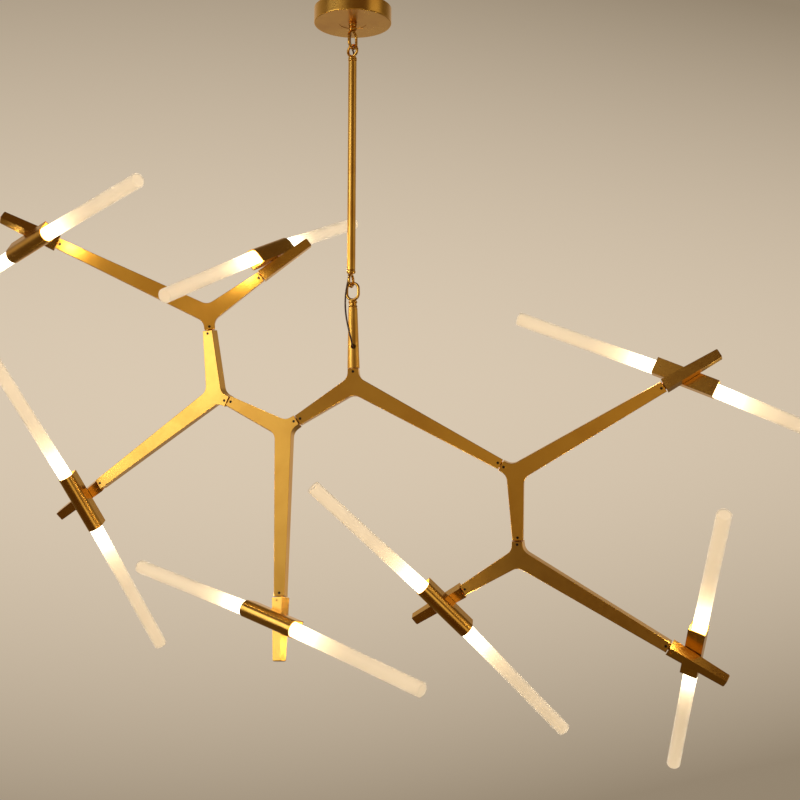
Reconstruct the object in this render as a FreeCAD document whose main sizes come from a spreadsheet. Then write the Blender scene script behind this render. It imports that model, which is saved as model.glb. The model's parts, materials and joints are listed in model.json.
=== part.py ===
import FreeCAD, Part
import math
import os

import Sketcher
from FreeCAD import Placement, Rotation, Vector

# Branching ceiling light: a canopy, a rod hung between open loops, a flared stub, six like three-armed
# plates joined end to end, and seven lamp heads, each a sleeve across a bar with two long glass tubes.
#
# Frame: origin at the centre of the ceiling face, +Z up, +X to the viewer's right, +Y away from the viewer.
# Every own frame along the plates and heads has Y along the piece and Z square to its front face.
# Lengths are in millimetres and angles in degrees.

SIZES = [
    # Canopy and what it holds
    ("canopy_diameter", 120.0),
    ("canopy_height", 24.0),
    ("canopy_wall", 1.6),
    ("canopy_edge_radius", 1.2),
    ("canopy_dish_diameter", 42.0),
    ("canopy_dish_depth", 0.5),
    ("bracket_length", 104.0),
    ("bracket_width", 22.0),
    ("bracket_thickness", 2.5),
    ("bracket_screw_spacing", 70.0),
    ("bracket_screw_hole", 5.2),
    ("nut_across_corners", 16.0),
    ("nut_height", 3.5),
    ("terminal_length", 17.0),
    ("terminal_width", 18.0),
    ("terminal_height", 11.0),
    ("terminal_pitch", 8.0),
    ("terminal_hole", 3.4),
    ("terminal_offset", 9.5),
    # Threaded tube used at every joint
    ("nipple_diameter", 9.8),
    ("nipple_bore", 7.0),
    ("nipple_engagement", 11.0),
    ("nipple_end_room", 0.6),
    # Loops
    ("wire", 4.3),
    ("ring_root", 1.0),
    ("oval_ring_width", 23.0),
    ("canopy_ring_height", 31.0),
    ("stub_ring_height", 30.0),
    ("rod_top_ring_width", 21.5),
    ("rod_bottom_ring_width", 23.0),
    ("collar_diameter", 13.8),
    ("bead", 2.3),
    ("bead_inset_share", 1.15),
    ("canopy_collar_height", 11.8),
    ("rod_top_collar_height", 8.0),
    ("rod_bottom_collar_height", 6.2),
    ("stub_collar_height", 12.0),
    ("canopy_loop_azimuth", 53.0),
    ("rod_top_loop_azimuth", -37.0),
    ("rod_bottom_loop_azimuth", 70.0),
    ("stub_loop_azimuth", -20.0),
    ("spigot_length", 10.0),
    ("tail_length", 12.0),
    ("tail_angle", 40.0),
    ("upper_link_gap", 0.3),
    ("lower_link_gap", 1.1),
    # Rod and stub
    ("rod_diameter", 12.8),
    ("rod_wall", 1.0),
    ("rod_length", 326.4),
    ("stub_length", 92.0),
    ("stub_top_diameter", 13.9),
    ("stub_bottom_diameter", 18.6),
    ("stub_wall", 1.5),
    ("stub_floor", 13.0),
    ("stub_hole", 8.0),
    ("stub_hole_from_bottom", 32.5),
    ("stub_offset", 2.5),
    ("stub_lean_right", 0.93),
    ("stub_lean_back", -0.89),
    # Plates
    ("plate_thickness", 18.0),
    ("arm_root_width", 26.0),
    ("short_root_width", 19.0),
    ("arm_end_width", 16.0),
    ("short_arm", 24.5),
    ("mid_arm", 101.0),
    ("long_arm", 252.0),
    ("mid_arm_angle", 120.4),
    ("long_arm_angle", 121.0),
    ("crotch_radius", 16.0),
    ("plate_edge", 0.5),
    ("joint_gap", 1.4),
    ("wire_bore", 7.0),
    ("set_screw", 4.0),
    ("set_screw_length", 3.3),
    ("set_screw_socket", 2.3),
    ("set_screw_socket_depth", 1.6),
    ("set_screw_sink", 0.5),
    ("set_screw_from_end", 4.5),
    # How the plates hang in the photograph
    ("plate_1_turn", -6.96),
    ("tree_lean_right", 2.241),
    ("tree_lean_back", -0.896),
    ("plate_2_twist", 11.684),
    ("plate_3_twist", -18.019),
    ("plate_4_twist", 9.053),
    ("plate_5_twist", 25.522),
    ("plate_6_twist", 7.438),
    # Lamp bars
    ("bar_length", 92.0),
    ("bar_root_width", 18.0),
    ("bar_end_width", 13.5),
    ("bar_end_chamfer", 1.2),
    ("pivot_from_joint", 33.1),
    ("pivot_shank", 8.0),
    ("pivot_bore", 4.6),
    ("pivot_spacer", 13.0),
    ("pivot_head", 12.0),
    ("pivot_head_height", 2.4),
    # Sleeves
    ("sleeve_length", 96.0),
    ("sleeve_width", 25.5),
    ("sleeve_wall", 1.25),
    ("sleeve_flat", 15.1),
    ("sleeve_from_bar", 24.6),
    ("sleeve_screw_from_end", 9.0),
    ("sleeve_screw", 3.0),
    ("sleeve_screw_socket", 1.7),
    ("sleeve_screw_sink", 0.2),
    # Glass, bulbs and lampholders
    ("glass_diameter", 21.0),
    ("glass_wall", 1.5),
    ("glass_end_wall", 2.0),
    ("glass_end_radius", 2.5),
    ("glass_reach", 277.0),
    ("glass_start", 20.0),
    ("glass_seat", 33.6),
    ("glass_droop", 1.5),
    ("holder_start", 7.2),
    ("holder_length", 10.6),
    ("holder_neck_diameter", 16.8),
    ("holder_neck_length", 10.0),
    ("bulb_diameter", 14.0),
    ("bulb_length", 43.0),
    # Cable
    ("cable_diameter", 2.7),
    ("cable_bore_gap", 0.3),
    ("cable_offset", 3.55),
    # Clearances
    ("seat_gap", 0.05),
    ("running_gap", 0.08),
    ("face_gap", 0.15),
    ("holder_gap", 0.3),
    ("overrun", 2.0),
    # Turning of the lamp bars about their arms, and of the sleeves about their pivots
    ("bar_1_turn", -55.253),
    ("bar_2_turn", -94.332),
    ("bar_3_turn", -22.980),
    ("bar_4_turn", 21.442),
    ("bar_5_turn", -21.350),
    ("bar_6_turn", -143.903),
    ("bar_7_turn", 160.273),
    ("sleeve_1_turn", -118.676),
    ("sleeve_2_turn", 52.084),
    ("sleeve_3_turn", 76.521),
    ("sleeve_4_turn", 68.728),
    ("sleeve_5_turn", 97.494),
    ("sleeve_6_turn", 75.448),
    ("sleeve_7_turn", 53.866),
]

# Each plate's parent and the arm of it that carries the plate; plate 1 hangs under the stub.
PLATES = [(2, 1, "mid"), (3, 2, "mid"), (4, 1, "long"), (5, 3, "mid"), (6, 4, "mid")]

# Each lamp head's plate, the arm that carries it, and the side of its bar that holds the set screw.
HEADS = [
    (1, 5, "long", 1),
    (2, 5, "mid", -1),
    (3, 3, "long", 1),
    (4, 2, "long", 1),
    (5, 6, "mid", 1),
    (6, 6, "long", -1),
    (7, 4, "long", -1),
]

# The cables' routes, chosen by eye. The lower one shows in the photograph, the upper one is behind the loops.
LOWER_CABLE_ROUTE = [
    (-3.336, 1.214, -410.0),
    (-3.336, 1.214, -420.0),
    (-5.5, -0.8, -433.0),
    (-8.0, -4.6, -447.0),
    (-8.9, -8.6, -464.0),
    (-7.6, -12.4, -484.0),
    (-3.2, -15.2, -505.0),
    (0.8, -14.6, -521.0),
    (3.0, -9.6, -530.8),
    (3.6, -1.2, -534.5),
]
UPPER_CABLE_ROUTE = [
    (-2.835, 2.136, -30.0),
    (-2.835, 2.136, -38.5),
    (-4.3, 6.4, -46.0),
    (-3.2, 11.0, -53.0),
    (-0.6, 11.4, -60.0),
    (1.6, 8.0, -66.3),
    (2.136, 2.835, -72.3),
    (2.136, 2.835, -83.0),
]

X_AXIS = Vector(1, 0, 0)
Y_AXIS = Vector(0, 1, 0)
Z_AXIS = Vector(0, 0, 1)

doc = FreeCAD.newDocument("chandelier")
sheet = doc.addObject("Spreadsheet::Sheet", "Dims")
VALUES = dict(SIZES)
SUBPARTS = {}


def fill_sheet():
    """Write every size to the sheet, as a plain number with an alias."""
    for row, (alias, value) in enumerate(SIZES, start=1):
        sheet.set("A%d" % row, alias)
        sheet.set("B%d" % row, repr(value))
        sheet.setAlias("B%d" % row, alias)
    doc.recompute()


def dim(alias):
    return float(sheet.get(alias))


def turn(axis, degrees):
    return Placement(Vector(), Rotation(axis, degrees))


def shift(x=0.0, y=0.0, z=0.0):
    return Placement(Vector(x, y, z), Rotation())


def subpart(label, piece, frame):
    """Name a finished piece as a node and put it in its place."""
    piece.Label = label
    piece.Placement = frame
    SUBPARTS[label] = piece
    return piece


# Parametric primitives. A size is an expression in the sheet's aliases.


def primitive(kind, name, place=None, **sizes):
    piece = doc.addObject("Part::" + kind, name)
    if place is not None:
        piece.Placement = place
    for prop, expression in sizes.items():
        piece.setExpression(prop.replace("__", "."), expression)
    return piece


def cylinder(name, radius, height, place=None, **more):
    return primitive("Cylinder", name, place, Radius=radius, Height=height, **more)


def fuse(name, pieces):
    result = doc.addObject("Part::MultiFuse", name)
    result.Shapes = pieces
    return result


def cut(name, base, tools):
    result = doc.addObject("Part::Cut", name)
    result.Base = base
    result.Tool = tools[0] if len(tools) == 1 else fuse(name + "_tools", tools)
    return result


def group(name, pieces):
    result = doc.addObject("Part::Compound", name)
    result.Links = pieces
    return result


def tube(name, outer, inner, height, place):
    """Straight tube along its own Z, from its own origin up."""
    wall = cylinder(name + "_outer", outer, height)
    bore = cylinder(name + "_inner", inner, height + " + 2 * Dims.overrun", Placement__Base__z="-Dims.overrun")
    result = cut(name, wall, [bore])
    result.Placement = place
    return result


def socket_screw(name, diameter, length, socket, place):
    """Headless screw along its own Z with a hexagon socket in its upper end."""
    shank = cylinder(name + "_shank", diameter + " / 2", length)
    hexagon = primitive(
        "Prism",
        name + "_socket",
        Circumradius=socket + " / 2",
        Height=length,
        Placement__Base__z=length + " - Dims.set_screw_socket_depth",
    )
    result = cut(name, shank, [hexagon])
    result.Placement = place
    return result


def nipple(name, place):
    """Threaded tube centred on its own origin, along its own Y."""
    centred = place.multiply(turn(X_AXIS, -90)).multiply(shift(z=-dim("nipple_engagement")))
    return tube(name, "Dims.nipple_diameter / 2", "Dims.nipple_bore / 2", "2 * Dims.nipple_engagement", centred)


def plate_screw(name, arm_place, distance):
    """Set screw in a plate's front face, at a distance along an arm."""
    top = dim("plate_thickness") / 2 - dim("set_screw_sink")
    place = arm_place.multiply(shift(y=distance, z=top - dim("set_screw_length")))
    return socket_screw(
        name, "Dims.set_screw", "Dims.set_screw_length", "Dims.set_screw_socket", place
    )


# Sketches. A corner is held by two distances from the sketch's origin, each bound to the sheet.


def new_sketch(body, name, plane, offset=None):
    sketch = body.newObject("Sketcher::SketchObject", name)
    support = next(item for item in body.Origin.OriginFeatures if item.Role == plane)
    sketch.AttachmentSupport = [(support, "")]
    sketch.MapMode = "FlatFace"
    if offset is not None:
        sketch.AttachmentOffset = offset
    return sketch


def hold_point(sketch, geometry, end, x, y):
    for kind, expression, axis in (("DistanceX", x, -2), ("DistanceY", y, -1)):
        if expression == "0":
            sketch.addConstraint(Sketcher.Constraint("PointOnObject", geometry, end, axis))
            continue
        value = float(sketch.evalExpression(expression))
        index = sketch.addConstraint(Sketcher.Constraint(kind, -1, 1, geometry, end, value))
        sketch.setExpression("Constraints[%d]" % index, expression)


def closed_outline(sketch, corners):
    """Straight-sided closed outline through corners given as pairs of expressions."""
    first = sketch.GeometryCount
    count = len(corners)
    points = [Vector(float(sketch.evalExpression(x)), float(sketch.evalExpression(y)), 0) for x, y in corners]
    for i in range(count):
        sketch.addGeometry(Part.LineSegment(points[i], points[(i + 1) % count]), False)
    for i in range(count):
        sketch.addConstraint(Sketcher.Constraint("Coincident", first + i, 2, first + (i + 1) % count, 1))
    for i, (x, y) in enumerate(corners):
        hold_point(sketch, first + i, 1, x, y)


def circle(sketch, x, y, radius):
    centre = Vector(float(sketch.evalExpression(x)), float(sketch.evalExpression(y)), 0)
    size = float(sketch.evalExpression(radius))
    index = sketch.addGeometry(Part.Circle(centre, Z_AXIS, size), False)
    hold_point(sketch, index, 3, x, y)
    bound = sketch.addConstraint(Sketcher.Constraint("Radius", index, size))
    sketch.setExpression("Constraints[%d]" % bound, radius)


def tombstone(sketch, radius, flat):
    """Half circle over a flat-bottomed box, with the half circle's centre at the sketch's origin."""
    size = float(sketch.evalExpression(radius))
    drop = float(sketch.evalExpression(flat))
    arc = sketch.addGeometry(Part.ArcOfCircle(Part.Circle(Vector(), Z_AXIS, size), 0, math.pi), False)
    corners = [Vector(-size, 0, 0), Vector(-size, -drop, 0), Vector(size, -drop, 0), Vector(size, 0, 0)]
    for start, end in zip(corners, corners[1:]):
        sketch.addGeometry(Part.LineSegment(start, end), False)
    left, bottom, right = arc + 1, arc + 2, arc + 3
    links = [(arc, 2, left, 1), (left, 2, bottom, 1), (bottom, 2, right, 1), (right, 2, arc, 1)]
    for link in links:
        sketch.addConstraint(Sketcher.Constraint("Coincident", *link))
    sketch.addConstraint(Sketcher.Constraint("Coincident", arc, 3, -1, 1))
    sketch.addConstraint(Sketcher.Constraint("PointOnObject", arc, 1, -1))
    sketch.addConstraint(Sketcher.Constraint("PointOnObject", arc, 2, -1))
    sketch.addConstraint(Sketcher.Constraint("Vertical", left))
    sketch.addConstraint(Sketcher.Constraint("Vertical", right))
    sketch.addConstraint(Sketcher.Constraint("Horizontal", bottom))
    bound = sketch.addConstraint(Sketcher.Constraint("Radius", arc, size))
    sketch.setExpression("Constraints[%d]" % bound, radius)
    depth = sketch.addConstraint(Sketcher.Constraint("DistanceY", bottom, 1, -1, 1, drop))
    sketch.setExpression("Constraints[%d]" % depth, flat)


def edge_names(shape, keep):
    return ["Edge%d" % (i + 1) for i, edge in enumerate(shape.Edges) if keep(edge)]


# Frames: where each piece's own origin and axes lie.


def hanging_frames():
    """Frames of the canopy, rod, loops and stub, from the ceiling down."""
    frames = {"ceiling": shift()}
    down = turn(X_AXIS, 180)
    level = -(dim("canopy_height") - dim("canopy_dish_depth"))
    frames["canopy_loop"] = shift(z=level).multiply(turn(Z_AXIS, dim("canopy_loop_azimuth"))).multiply(down)
    level -= dim("canopy_collar_height") + dim("canopy_ring_height") - dim("ring_root")
    level += dim("wire")
    frames["upper_link"] = shift(z=level)
    level += dim("wire") + dim("upper_link_gap")
    level -= dim("rod_top_ring_width") - dim("ring_root") + dim("rod_top_collar_height")
    frames["rod_top_loop"] = shift(z=level).multiply(turn(Z_AXIS, dim("rod_top_loop_azimuth")))
    level -= dim("rod_length")
    frames["rod"] = shift(z=level)
    azimuth = turn(Z_AXIS, dim("rod_bottom_loop_azimuth"))
    frames["rod_bottom_loop"] = shift(z=level).multiply(azimuth).multiply(down)
    level -= dim("rod_bottom_collar_height") + dim("rod_bottom_ring_width") - dim("ring_root")
    level += dim("wire")
    frames["lower_link"] = shift(x=dim("stub_offset") / 2, z=level)
    lean = turn(X_AXIS, dim("stub_lean_back")).multiply(turn(Y_AXIS, -dim("stub_lean_right")))
    axis = shift(x=dim("stub_offset"), z=level).multiply(lean)
    fall = -dim("wire") - dim("lower_link_gap")
    fall += dim("stub_ring_height") - dim("ring_root") + dim("stub_collar_height")
    frames["stub_loop"] = axis.multiply(shift(z=-fall)).multiply(turn(Z_AXIS, dim("stub_loop_azimuth")))
    fall += dim("stub_length")
    frames["stub"] = axis.multiply(shift(z=-fall))
    frames["stub_joint"] = axis.multiply(shift(z=-fall - dim("joint_gap") / 2))
    return frames


def arm_turn(arm):
    """Turn from a plate's short arm to the given arm, about the plate's own Z."""
    angle = {"short": 0.0, "mid": dim("mid_arm_angle"), "long": -dim("long_arm_angle")}[arm]
    return turn(Z_AXIS, angle)


def arm_end(plate_frame, arm):
    """Frame at the joint on an arm's end, with Y outward along the arm."""
    return plate_frame.multiply(arm_turn(arm)).multiply(shift(y=dim(arm + "_arm")))


def tree_frames(frames):
    """Frames of the plates, bars and sleeves, each hung on the last."""
    joint = shift(*frames["stub_joint"].Base)
    lean = turn(X_AXIS, dim("tree_lean_back")).multiply(turn(Y_AXIS, -dim("tree_lean_right")))
    facing = turn(Z_AXIS, dim("plate_1_turn")).multiply(turn(X_AXIS, 90))
    frames["plate_1_joint"] = joint.multiply(lean).multiply(facing)
    frames["plate_1"] = frames["plate_1_joint"].multiply(shift(y=-dim("short_arm")))
    for index, parent, arm in PLATES:
        end = arm_end(frames["plate_%d" % parent], arm)
        twist = end.multiply(turn(Y_AXIS, dim("plate_%d_twist" % index)))
        hub = twist.multiply(shift(y=dim("short_arm")))
        frames["plate_%d_joint" % index] = twist
        frames["plate_%d" % index] = hub.multiply(turn(Z_AXIS, 180))
    for index, plate, arm, _side in HEADS:
        end = arm_end(frames["plate_%d" % plate], arm)
        bar = end.multiply(turn(Y_AXIS, dim("bar_%d_turn" % index)))
        frames["bar_%d" % index] = bar
        pivot = bar.multiply(shift(y=dim("pivot_from_joint"), z=dim("sleeve_from_bar")))
        frames["sleeve_%d" % index] = pivot.multiply(turn(Z_AXIS, dim("sleeve_%d_turn" % index)))
    return frames


# Canopy


def make_bracket():
    bar = primitive(
        "Box",
        "bracket_bar",
        Length="Dims.bracket_length",
        Width="Dims.bracket_width",
        Height="Dims.bracket_thickness",
        Placement__Base__x="-Dims.bracket_length / 2",
        Placement__Base__y="-Dims.bracket_width / 2",
        Placement__Base__z="-Dims.bracket_thickness",
    )
    depth = "Dims.bracket_thickness + 2 * Dims.overrun"
    start = "-Dims.bracket_thickness - Dims.overrun"
    holes = [cylinder("bracket_centre", "Dims.nipple_diameter / 2 + Dims.seat_gap", depth, Placement__Base__z=start)]
    for name, side in (("bracket_left", "-"), ("bracket_right", "")):
        hole = cylinder(
            name,
            "Dims.bracket_screw_hole / 2",
            depth,
            Placement__Base__x=side + "Dims.bracket_screw_spacing / 2",
            Placement__Base__z=start,
        )
        holes.append(hole)
    subpart("ceiling_bracket", cut("bracket", bar, holes), shift())


def make_canopy_cover():
    """Spun cup, open upward, with a shallow round dish in its underside."""
    body = doc.addObject("PartDesign::Body", "cover")
    profile = new_sketch(body, "cover_profile", "XZ_Plane")
    hole = "Dims.nipple_diameter / 2 + 2 * Dims.running_gap"
    dish = "Dims.canopy_dish_diameter / 2"
    outer = "Dims.canopy_diameter / 2"
    corners = [
        (hole, "-Dims.canopy_height + Dims.canopy_dish_depth"),
        (dish, "-Dims.canopy_height + Dims.canopy_dish_depth"),
        (dish, "-Dims.canopy_height"),
        (outer, "-Dims.canopy_height"),
        (outer, "0"),
        (outer + " - Dims.canopy_wall", "0"),
        (outer + " - Dims.canopy_wall", "-Dims.canopy_height + Dims.canopy_wall"),
        (hole, "-Dims.canopy_height + Dims.canopy_wall"),
    ]
    closed_outline(profile, corners)
    spin = body.newObject("PartDesign::Revolution", "cover_spin")
    spin.Profile = profile
    spin.ReferenceAxis = (profile, ["V_Axis"])
    spin.Angle = 360.0
    doc.recompute()
    rim = edge_names(spin.Shape, is_lower_rim)
    fillet = body.newObject("PartDesign::Fillet", "cover_edge")
    fillet.Base = (spin, rim)
    fillet.setExpression("Radius", "Dims.canopy_edge_radius")
    body.Tip = fillet
    subpart("canopy_cover", body, shift())


def is_lower_rim(edge):
    box = edge.BoundBox
    full = abs(box.XLength - dim("canopy_diameter")) < dim("seat_gap")
    return full and abs(box.ZMax + dim("canopy_height")) < dim("seat_gap")


def make_canopy_nipple(frames):
    """Threaded tube from the bracket down into the loop's collar, with its nut under the bracket."""
    length = "Dims.canopy_height - Dims.canopy_dish_depth + Dims.nipple_engagement / 2"
    reach = dim("canopy_height") - dim("canopy_dish_depth") + dim("nipple_engagement") / 2
    pipe = tube(
        "canopy_pipe", "Dims.nipple_diameter / 2", "Dims.nipple_bore / 2", length, shift(z=-reach)
    )
    hexagon = primitive("Prism", "nut_body", Circumradius="Dims.nut_across_corners / 2", Height="Dims.nut_height")
    hole = cylinder(
        "nut_hole",
        "Dims.nipple_diameter / 2 + Dims.seat_gap",
        "Dims.nut_height + 2 * Dims.overrun",
        Placement__Base__z="-Dims.overrun",
    )
    nut = cut("nut", hexagon, [hole])
    nut.Placement = shift(z=-dim("bracket_thickness") - dim("nut_height"))
    subpart("canopy_nipple_and_nut", group("canopy_joiners", [pipe, nut]), frames["ceiling"])


def make_terminal_block():
    block = primitive(
        "Box",
        "terminal_body",
        Length="Dims.terminal_length",
        Width="Dims.terminal_width",
        Height="Dims.terminal_height",
        Placement__Base__y="-Dims.terminal_width / 2",
        Placement__Base__z="-Dims.terminal_height",
    )
    tools = []
    for index, side in enumerate(("-", "")):
        along = side + "Dims.terminal_pitch / 2"
        wire_hole = cylinder(
            "terminal_wire_%d" % index,
            "Dims.terminal_hole / 2",
            "Dims.terminal_length + 2 * Dims.overrun",
            turn(Y_AXIS, 90),
            Placement__Base__x="-Dims.overrun",
            Placement__Base__y=along,
            Placement__Base__z="-Dims.terminal_height / 2",
        )
        screw_hole = cylinder(
            "terminal_screw_%d" % index,
            "Dims.terminal_hole / 2",
            "Dims.terminal_height / 2 + Dims.overrun",
            Placement__Base__x="Dims.terminal_length / 2",
            Placement__Base__y=along,
            Placement__Base__z="-Dims.terminal_height - Dims.overrun",
        )
        tools += [wire_hole, screw_hole]
    place = shift(x=dim("terminal_offset"), z=-dim("bracket_thickness"))
    subpart("terminal_block", cut("terminal", block, tools), place)


# Loops: a collar with two beads and a ring, seated at the origin, with the ring toward +Z in the XZ plane


def collar_pieces(name, height):
    core = cylinder(name + "_core", "Dims.collar_diameter / 2 - Dims.bead / 2", height)
    beads = []
    inset = "Dims.bead * Dims.bead_inset_share"
    for index, level in enumerate((inset, height + " - " + inset)):
        bead = primitive(
            "Torus",
            "%s_bead_%d" % (name, index),
            Radius1="Dims.collar_diameter / 2 - Dims.bead",
            Radius2="Dims.bead",
            Placement__Base__z=level,
        )
        beads.append(bead)
    return [core] + beads


def round_ring(name, height, width):
    ring = primitive(
        "Torus",
        name + "_ring",
        turn(X_AXIS, 90),
        Radius1=width + " / 2 - Dims.wire / 2",
        Radius2="Dims.wire / 2",
        Placement__Base__z=height + " - Dims.ring_root + " + width + " / 2",
    )
    return [ring]


def oval_ring(name, height, tall):
    """Two half rings joined by straight legs."""
    radius = "Dims.oval_ring_width / 2 - Dims.wire / 2"
    low = height + " - Dims.ring_root + Dims.oval_ring_width / 2"
    legs = tall + " - Dims.oval_ring_width"
    upper_turn = turn(X_AXIS, 90)
    lower_turn = turn(Y_AXIS, 180).multiply(upper_turn)
    pieces = []
    for part, place, level in (("lower", lower_turn, low), ("upper", upper_turn, low + " + " + legs)):
        half = primitive(
            "Torus",
            "%s_%s" % (name, part),
            place,
            Radius1=radius,
            Radius2="Dims.wire / 2",
            Placement__Base__z=level,
        )
        half.Angle3 = 180.0
        pieces.append(half)
    for part, side in (("left", "-1 * "), ("right", "")):
        leg = cylinder(
            "%s_%s" % (name, part),
            "Dims.wire / 2",
            legs,
            Placement__Base__x="%s(%s)" % (side, radius),
            Placement__Base__z=low,
        )
        pieces.append(leg)
    return pieces


def cable_bore(name, height, side):
    """Off-centre bore for the cable, beside the ring, through collar and spigot."""
    return cylinder(
        name + "_cable_bore",
        "Dims.cable_diameter / 2 + Dims.cable_bore_gap",
        height + " + Dims.spigot_length + 2 * Dims.overrun",
        Placement__Base__y=side + "Dims.cable_offset",
        Placement__Base__z="-Dims.spigot_length - Dims.overrun",
    )


def make_canopy_loop(frames):
    """Loop under the canopy; its ring's free end sticks out past the link."""
    height = "Dims.canopy_collar_height"
    pieces = collar_pieces("canopy_collar", height) + oval_ring("canopy_oval", height, "Dims.canopy_ring_height")
    tip = dim("canopy_collar_height") + dim("canopy_ring_height") - dim("ring_root") - dim("oval_ring_width") / 2
    ring_radius = dim("oval_ring_width") / 2 - dim("wire") / 2
    lean = turn(Y_AXIS, 180 + dim("tail_angle"))
    tail_place = shift(z=tip).multiply(lean).multiply(shift(x=ring_radius))
    tail = cylinder("canopy_tail", "Dims.wire / 2", "Dims.tail_length", tail_place)
    solid = fuse("canopy_loop_body", pieces + [tail])
    seat = cylinder(
        "canopy_loop_seat",
        "Dims.nipple_diameter / 2 + Dims.seat_gap",
        "Dims.nipple_engagement / 2 + Dims.nipple_end_room + Dims.overrun",
        Placement__Base__z="-Dims.overrun",
    )
    bore = cable_bore("canopy", height, "-")
    subpart("canopy_loop", cut("canopy_loop_cut", solid, [seat, bore]), frames["canopy_loop"])


def make_rod_loop(label, height, width, side, frames):
    pieces = collar_pieces(label + "_collar", height) + round_ring(label, height, width)
    spigot = cylinder(
        label + "_spigot",
        "Dims.rod_diameter / 2 - Dims.rod_wall - Dims.seat_gap",
        "Dims.spigot_length + Dims.bead",
        Placement__Base__z="-Dims.spigot_length",
    )
    solid = fuse(label + "_body", pieces + [spigot])
    subpart(label, cut(label + "_cut", solid, [cable_bore(label, height, side)]), frames[label])


def make_stub_loop(frames):
    height = "Dims.stub_collar_height"
    pieces = collar_pieces("stub_collar", height) + oval_ring("stub_oval", height, "Dims.stub_ring_height")
    spigot = cylinder(
        "stub_spigot",
        "Dims.stub_top_diameter / 2 - Dims.stub_wall - Dims.seat_gap",
        "Dims.spigot_length + Dims.bead",
        Placement__Base__z="-Dims.spigot_length",
    )
    subpart("stub_loop", fuse("stub_loop_body", pieces + [spigot]), frames["stub_loop"])


# Rod and stub


def make_rod(frames):
    pipe = tube(
        "rod_pipe", "Dims.rod_diameter / 2", "Dims.rod_diameter / 2 - Dims.rod_wall", "Dims.rod_length", shift()
    )
    subpart("rod_tube", pipe, frames["rod"])


def make_stub(frames):
    """Flared tube, hollow above a floor that is bored for the first joint, with a round hole for the cable."""
    outside = primitive(
        "Cone",
        "stub_outside",
        Radius1="Dims.stub_bottom_diameter / 2",
        Radius2="Dims.stub_top_diameter / 2",
        Height="Dims.stub_length",
    )
    inside = primitive(
        "Cone",
        "stub_inside",
        Radius1="Dims.stub_bottom_diameter / 2 - Dims.stub_wall",
        Radius2="Dims.stub_top_diameter / 2 - Dims.stub_wall",
        Height="Dims.stub_length - Dims.stub_floor",
        Placement__Base__z="Dims.stub_floor",
    )
    neck = cylinder(
        "stub_neck",
        "Dims.stub_top_diameter / 2 - Dims.stub_wall",
        "Dims.spigot_length + Dims.overrun",
        Placement__Base__z="Dims.stub_length - Dims.spigot_length",
    )
    floor_bore = cylinder(
        "stub_floor_bore",
        "Dims.nipple_diameter / 2 + 3 * Dims.running_gap",
        "Dims.stub_floor + 2 * Dims.overrun",
        Placement__Base__z="-Dims.overrun",
    )
    hole = cylinder(
        "stub_cable_hole",
        "Dims.stub_hole / 2",
        "Dims.stub_bottom_diameter",
        turn(X_AXIS, 90),
        Placement__Base__z="Dims.stub_hole_from_bottom",
    )
    subpart("stub_tube", cut("stub", outside, [inside, neck, floor_bore, hole]), frames["stub"])


def make_stub_nipple(frames):
    """Threaded tube of the first turning joint, in line with the first plate's short arm."""
    pipe = nipple("stub_pipe", shift())
    subpart("stub_nipple", group("stub_joiner", [pipe]), frames["plate_1_joint"])


# Plates


def arm_sketch(body, name, arm, level=None):
    """Sketch in the plate's plane, turned so that its own Y runs along the arm."""
    offset = arm_turn(arm)
    if level is not None:
        offset = shift(z=dim("plate_thickness") / 2).multiply(offset)
    sketch = new_sketch(body, name, "XY_Plane", offset)
    if level is not None:
        sketch.setExpression("AttachmentOffset.Base.z", level)
    return sketch


def add_arm(body, name, arm):
    root = {"short": "Dims.short_root_width / 2", "mid": "Dims.arm_root_width / 2"}
    half_root = root.get(arm, root["mid"])
    half_end = "Dims.arm_end_width / 2"
    end = "Dims.%s_arm - Dims.joint_gap / 2" % arm
    sketch = arm_sketch(body, "%s_%s_outline" % (name, arm), arm)
    corners = [("-" + half_root, "0"), (half_root, "0"), (half_end, end), ("-" + half_end, end)]
    closed_outline(sketch, corners)
    pad = body.newObject("PartDesign::Pad", "%s_%s_arm" % (name, arm))
    pad.Profile = sketch
    pad.Midplane = True
    pad.setExpression("Length", "Dims.plate_thickness")
    return pad


def bore_arm(body, name, arm):
    """Wire bore from the hub, widening to the nipple's bore at the arm's end."""
    fit = "Dims.running_gap" if arm == "short" else "Dims.seat_gap"
    wide = "Dims.nipple_diameter / 2 + " + fit
    narrow = "Dims.wire_bore / 2"
    step = "Dims.%s_arm - Dims.nipple_engagement - Dims.nipple_end_room" % arm
    end = "Dims.%s_arm + Dims.overrun" % arm
    sketch = arm_sketch(body, "%s_%s_bore_profile" % (name, arm), arm)
    closed_outline(sketch, [("0", "0"), (narrow, "0"), (narrow, step), (wide, step), (wide, end), ("0", end)])
    groove = body.newObject("PartDesign::Groove", "%s_%s_bore" % (name, arm))
    groove.Profile = sketch
    groove.ReferenceAxis = (sketch, ["V_Axis"])
    groove.Angle = 360.0


def drill_arm(body, name, arm):
    """Set screw hole from the front face down to the bore."""
    sketch = arm_sketch(body, "%s_%s_screw_place" % (name, arm), arm, "Dims.plate_thickness / 2")
    place = "Dims.%s_arm - Dims.joint_gap / 2 - Dims.set_screw_from_end" % arm
    circle(sketch, "0", place, "Dims.set_screw / 2 + Dims.seat_gap")
    pocket = body.newObject("PartDesign::Pocket", "%s_%s_screw_hole" % (name, arm))
    pocket.Profile = sketch
    pocket.setExpression("Length", "Dims.plate_thickness / 2")
    return pocket


def is_crotch(edge):
    box = edge.BoundBox
    upright = abs(box.ZLength - dim("plate_thickness")) < dim("seat_gap")
    centre = box.Center
    return upright and math.hypot(centre.x, centre.y) < dim("arm_root_width") * 3 / 4


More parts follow.
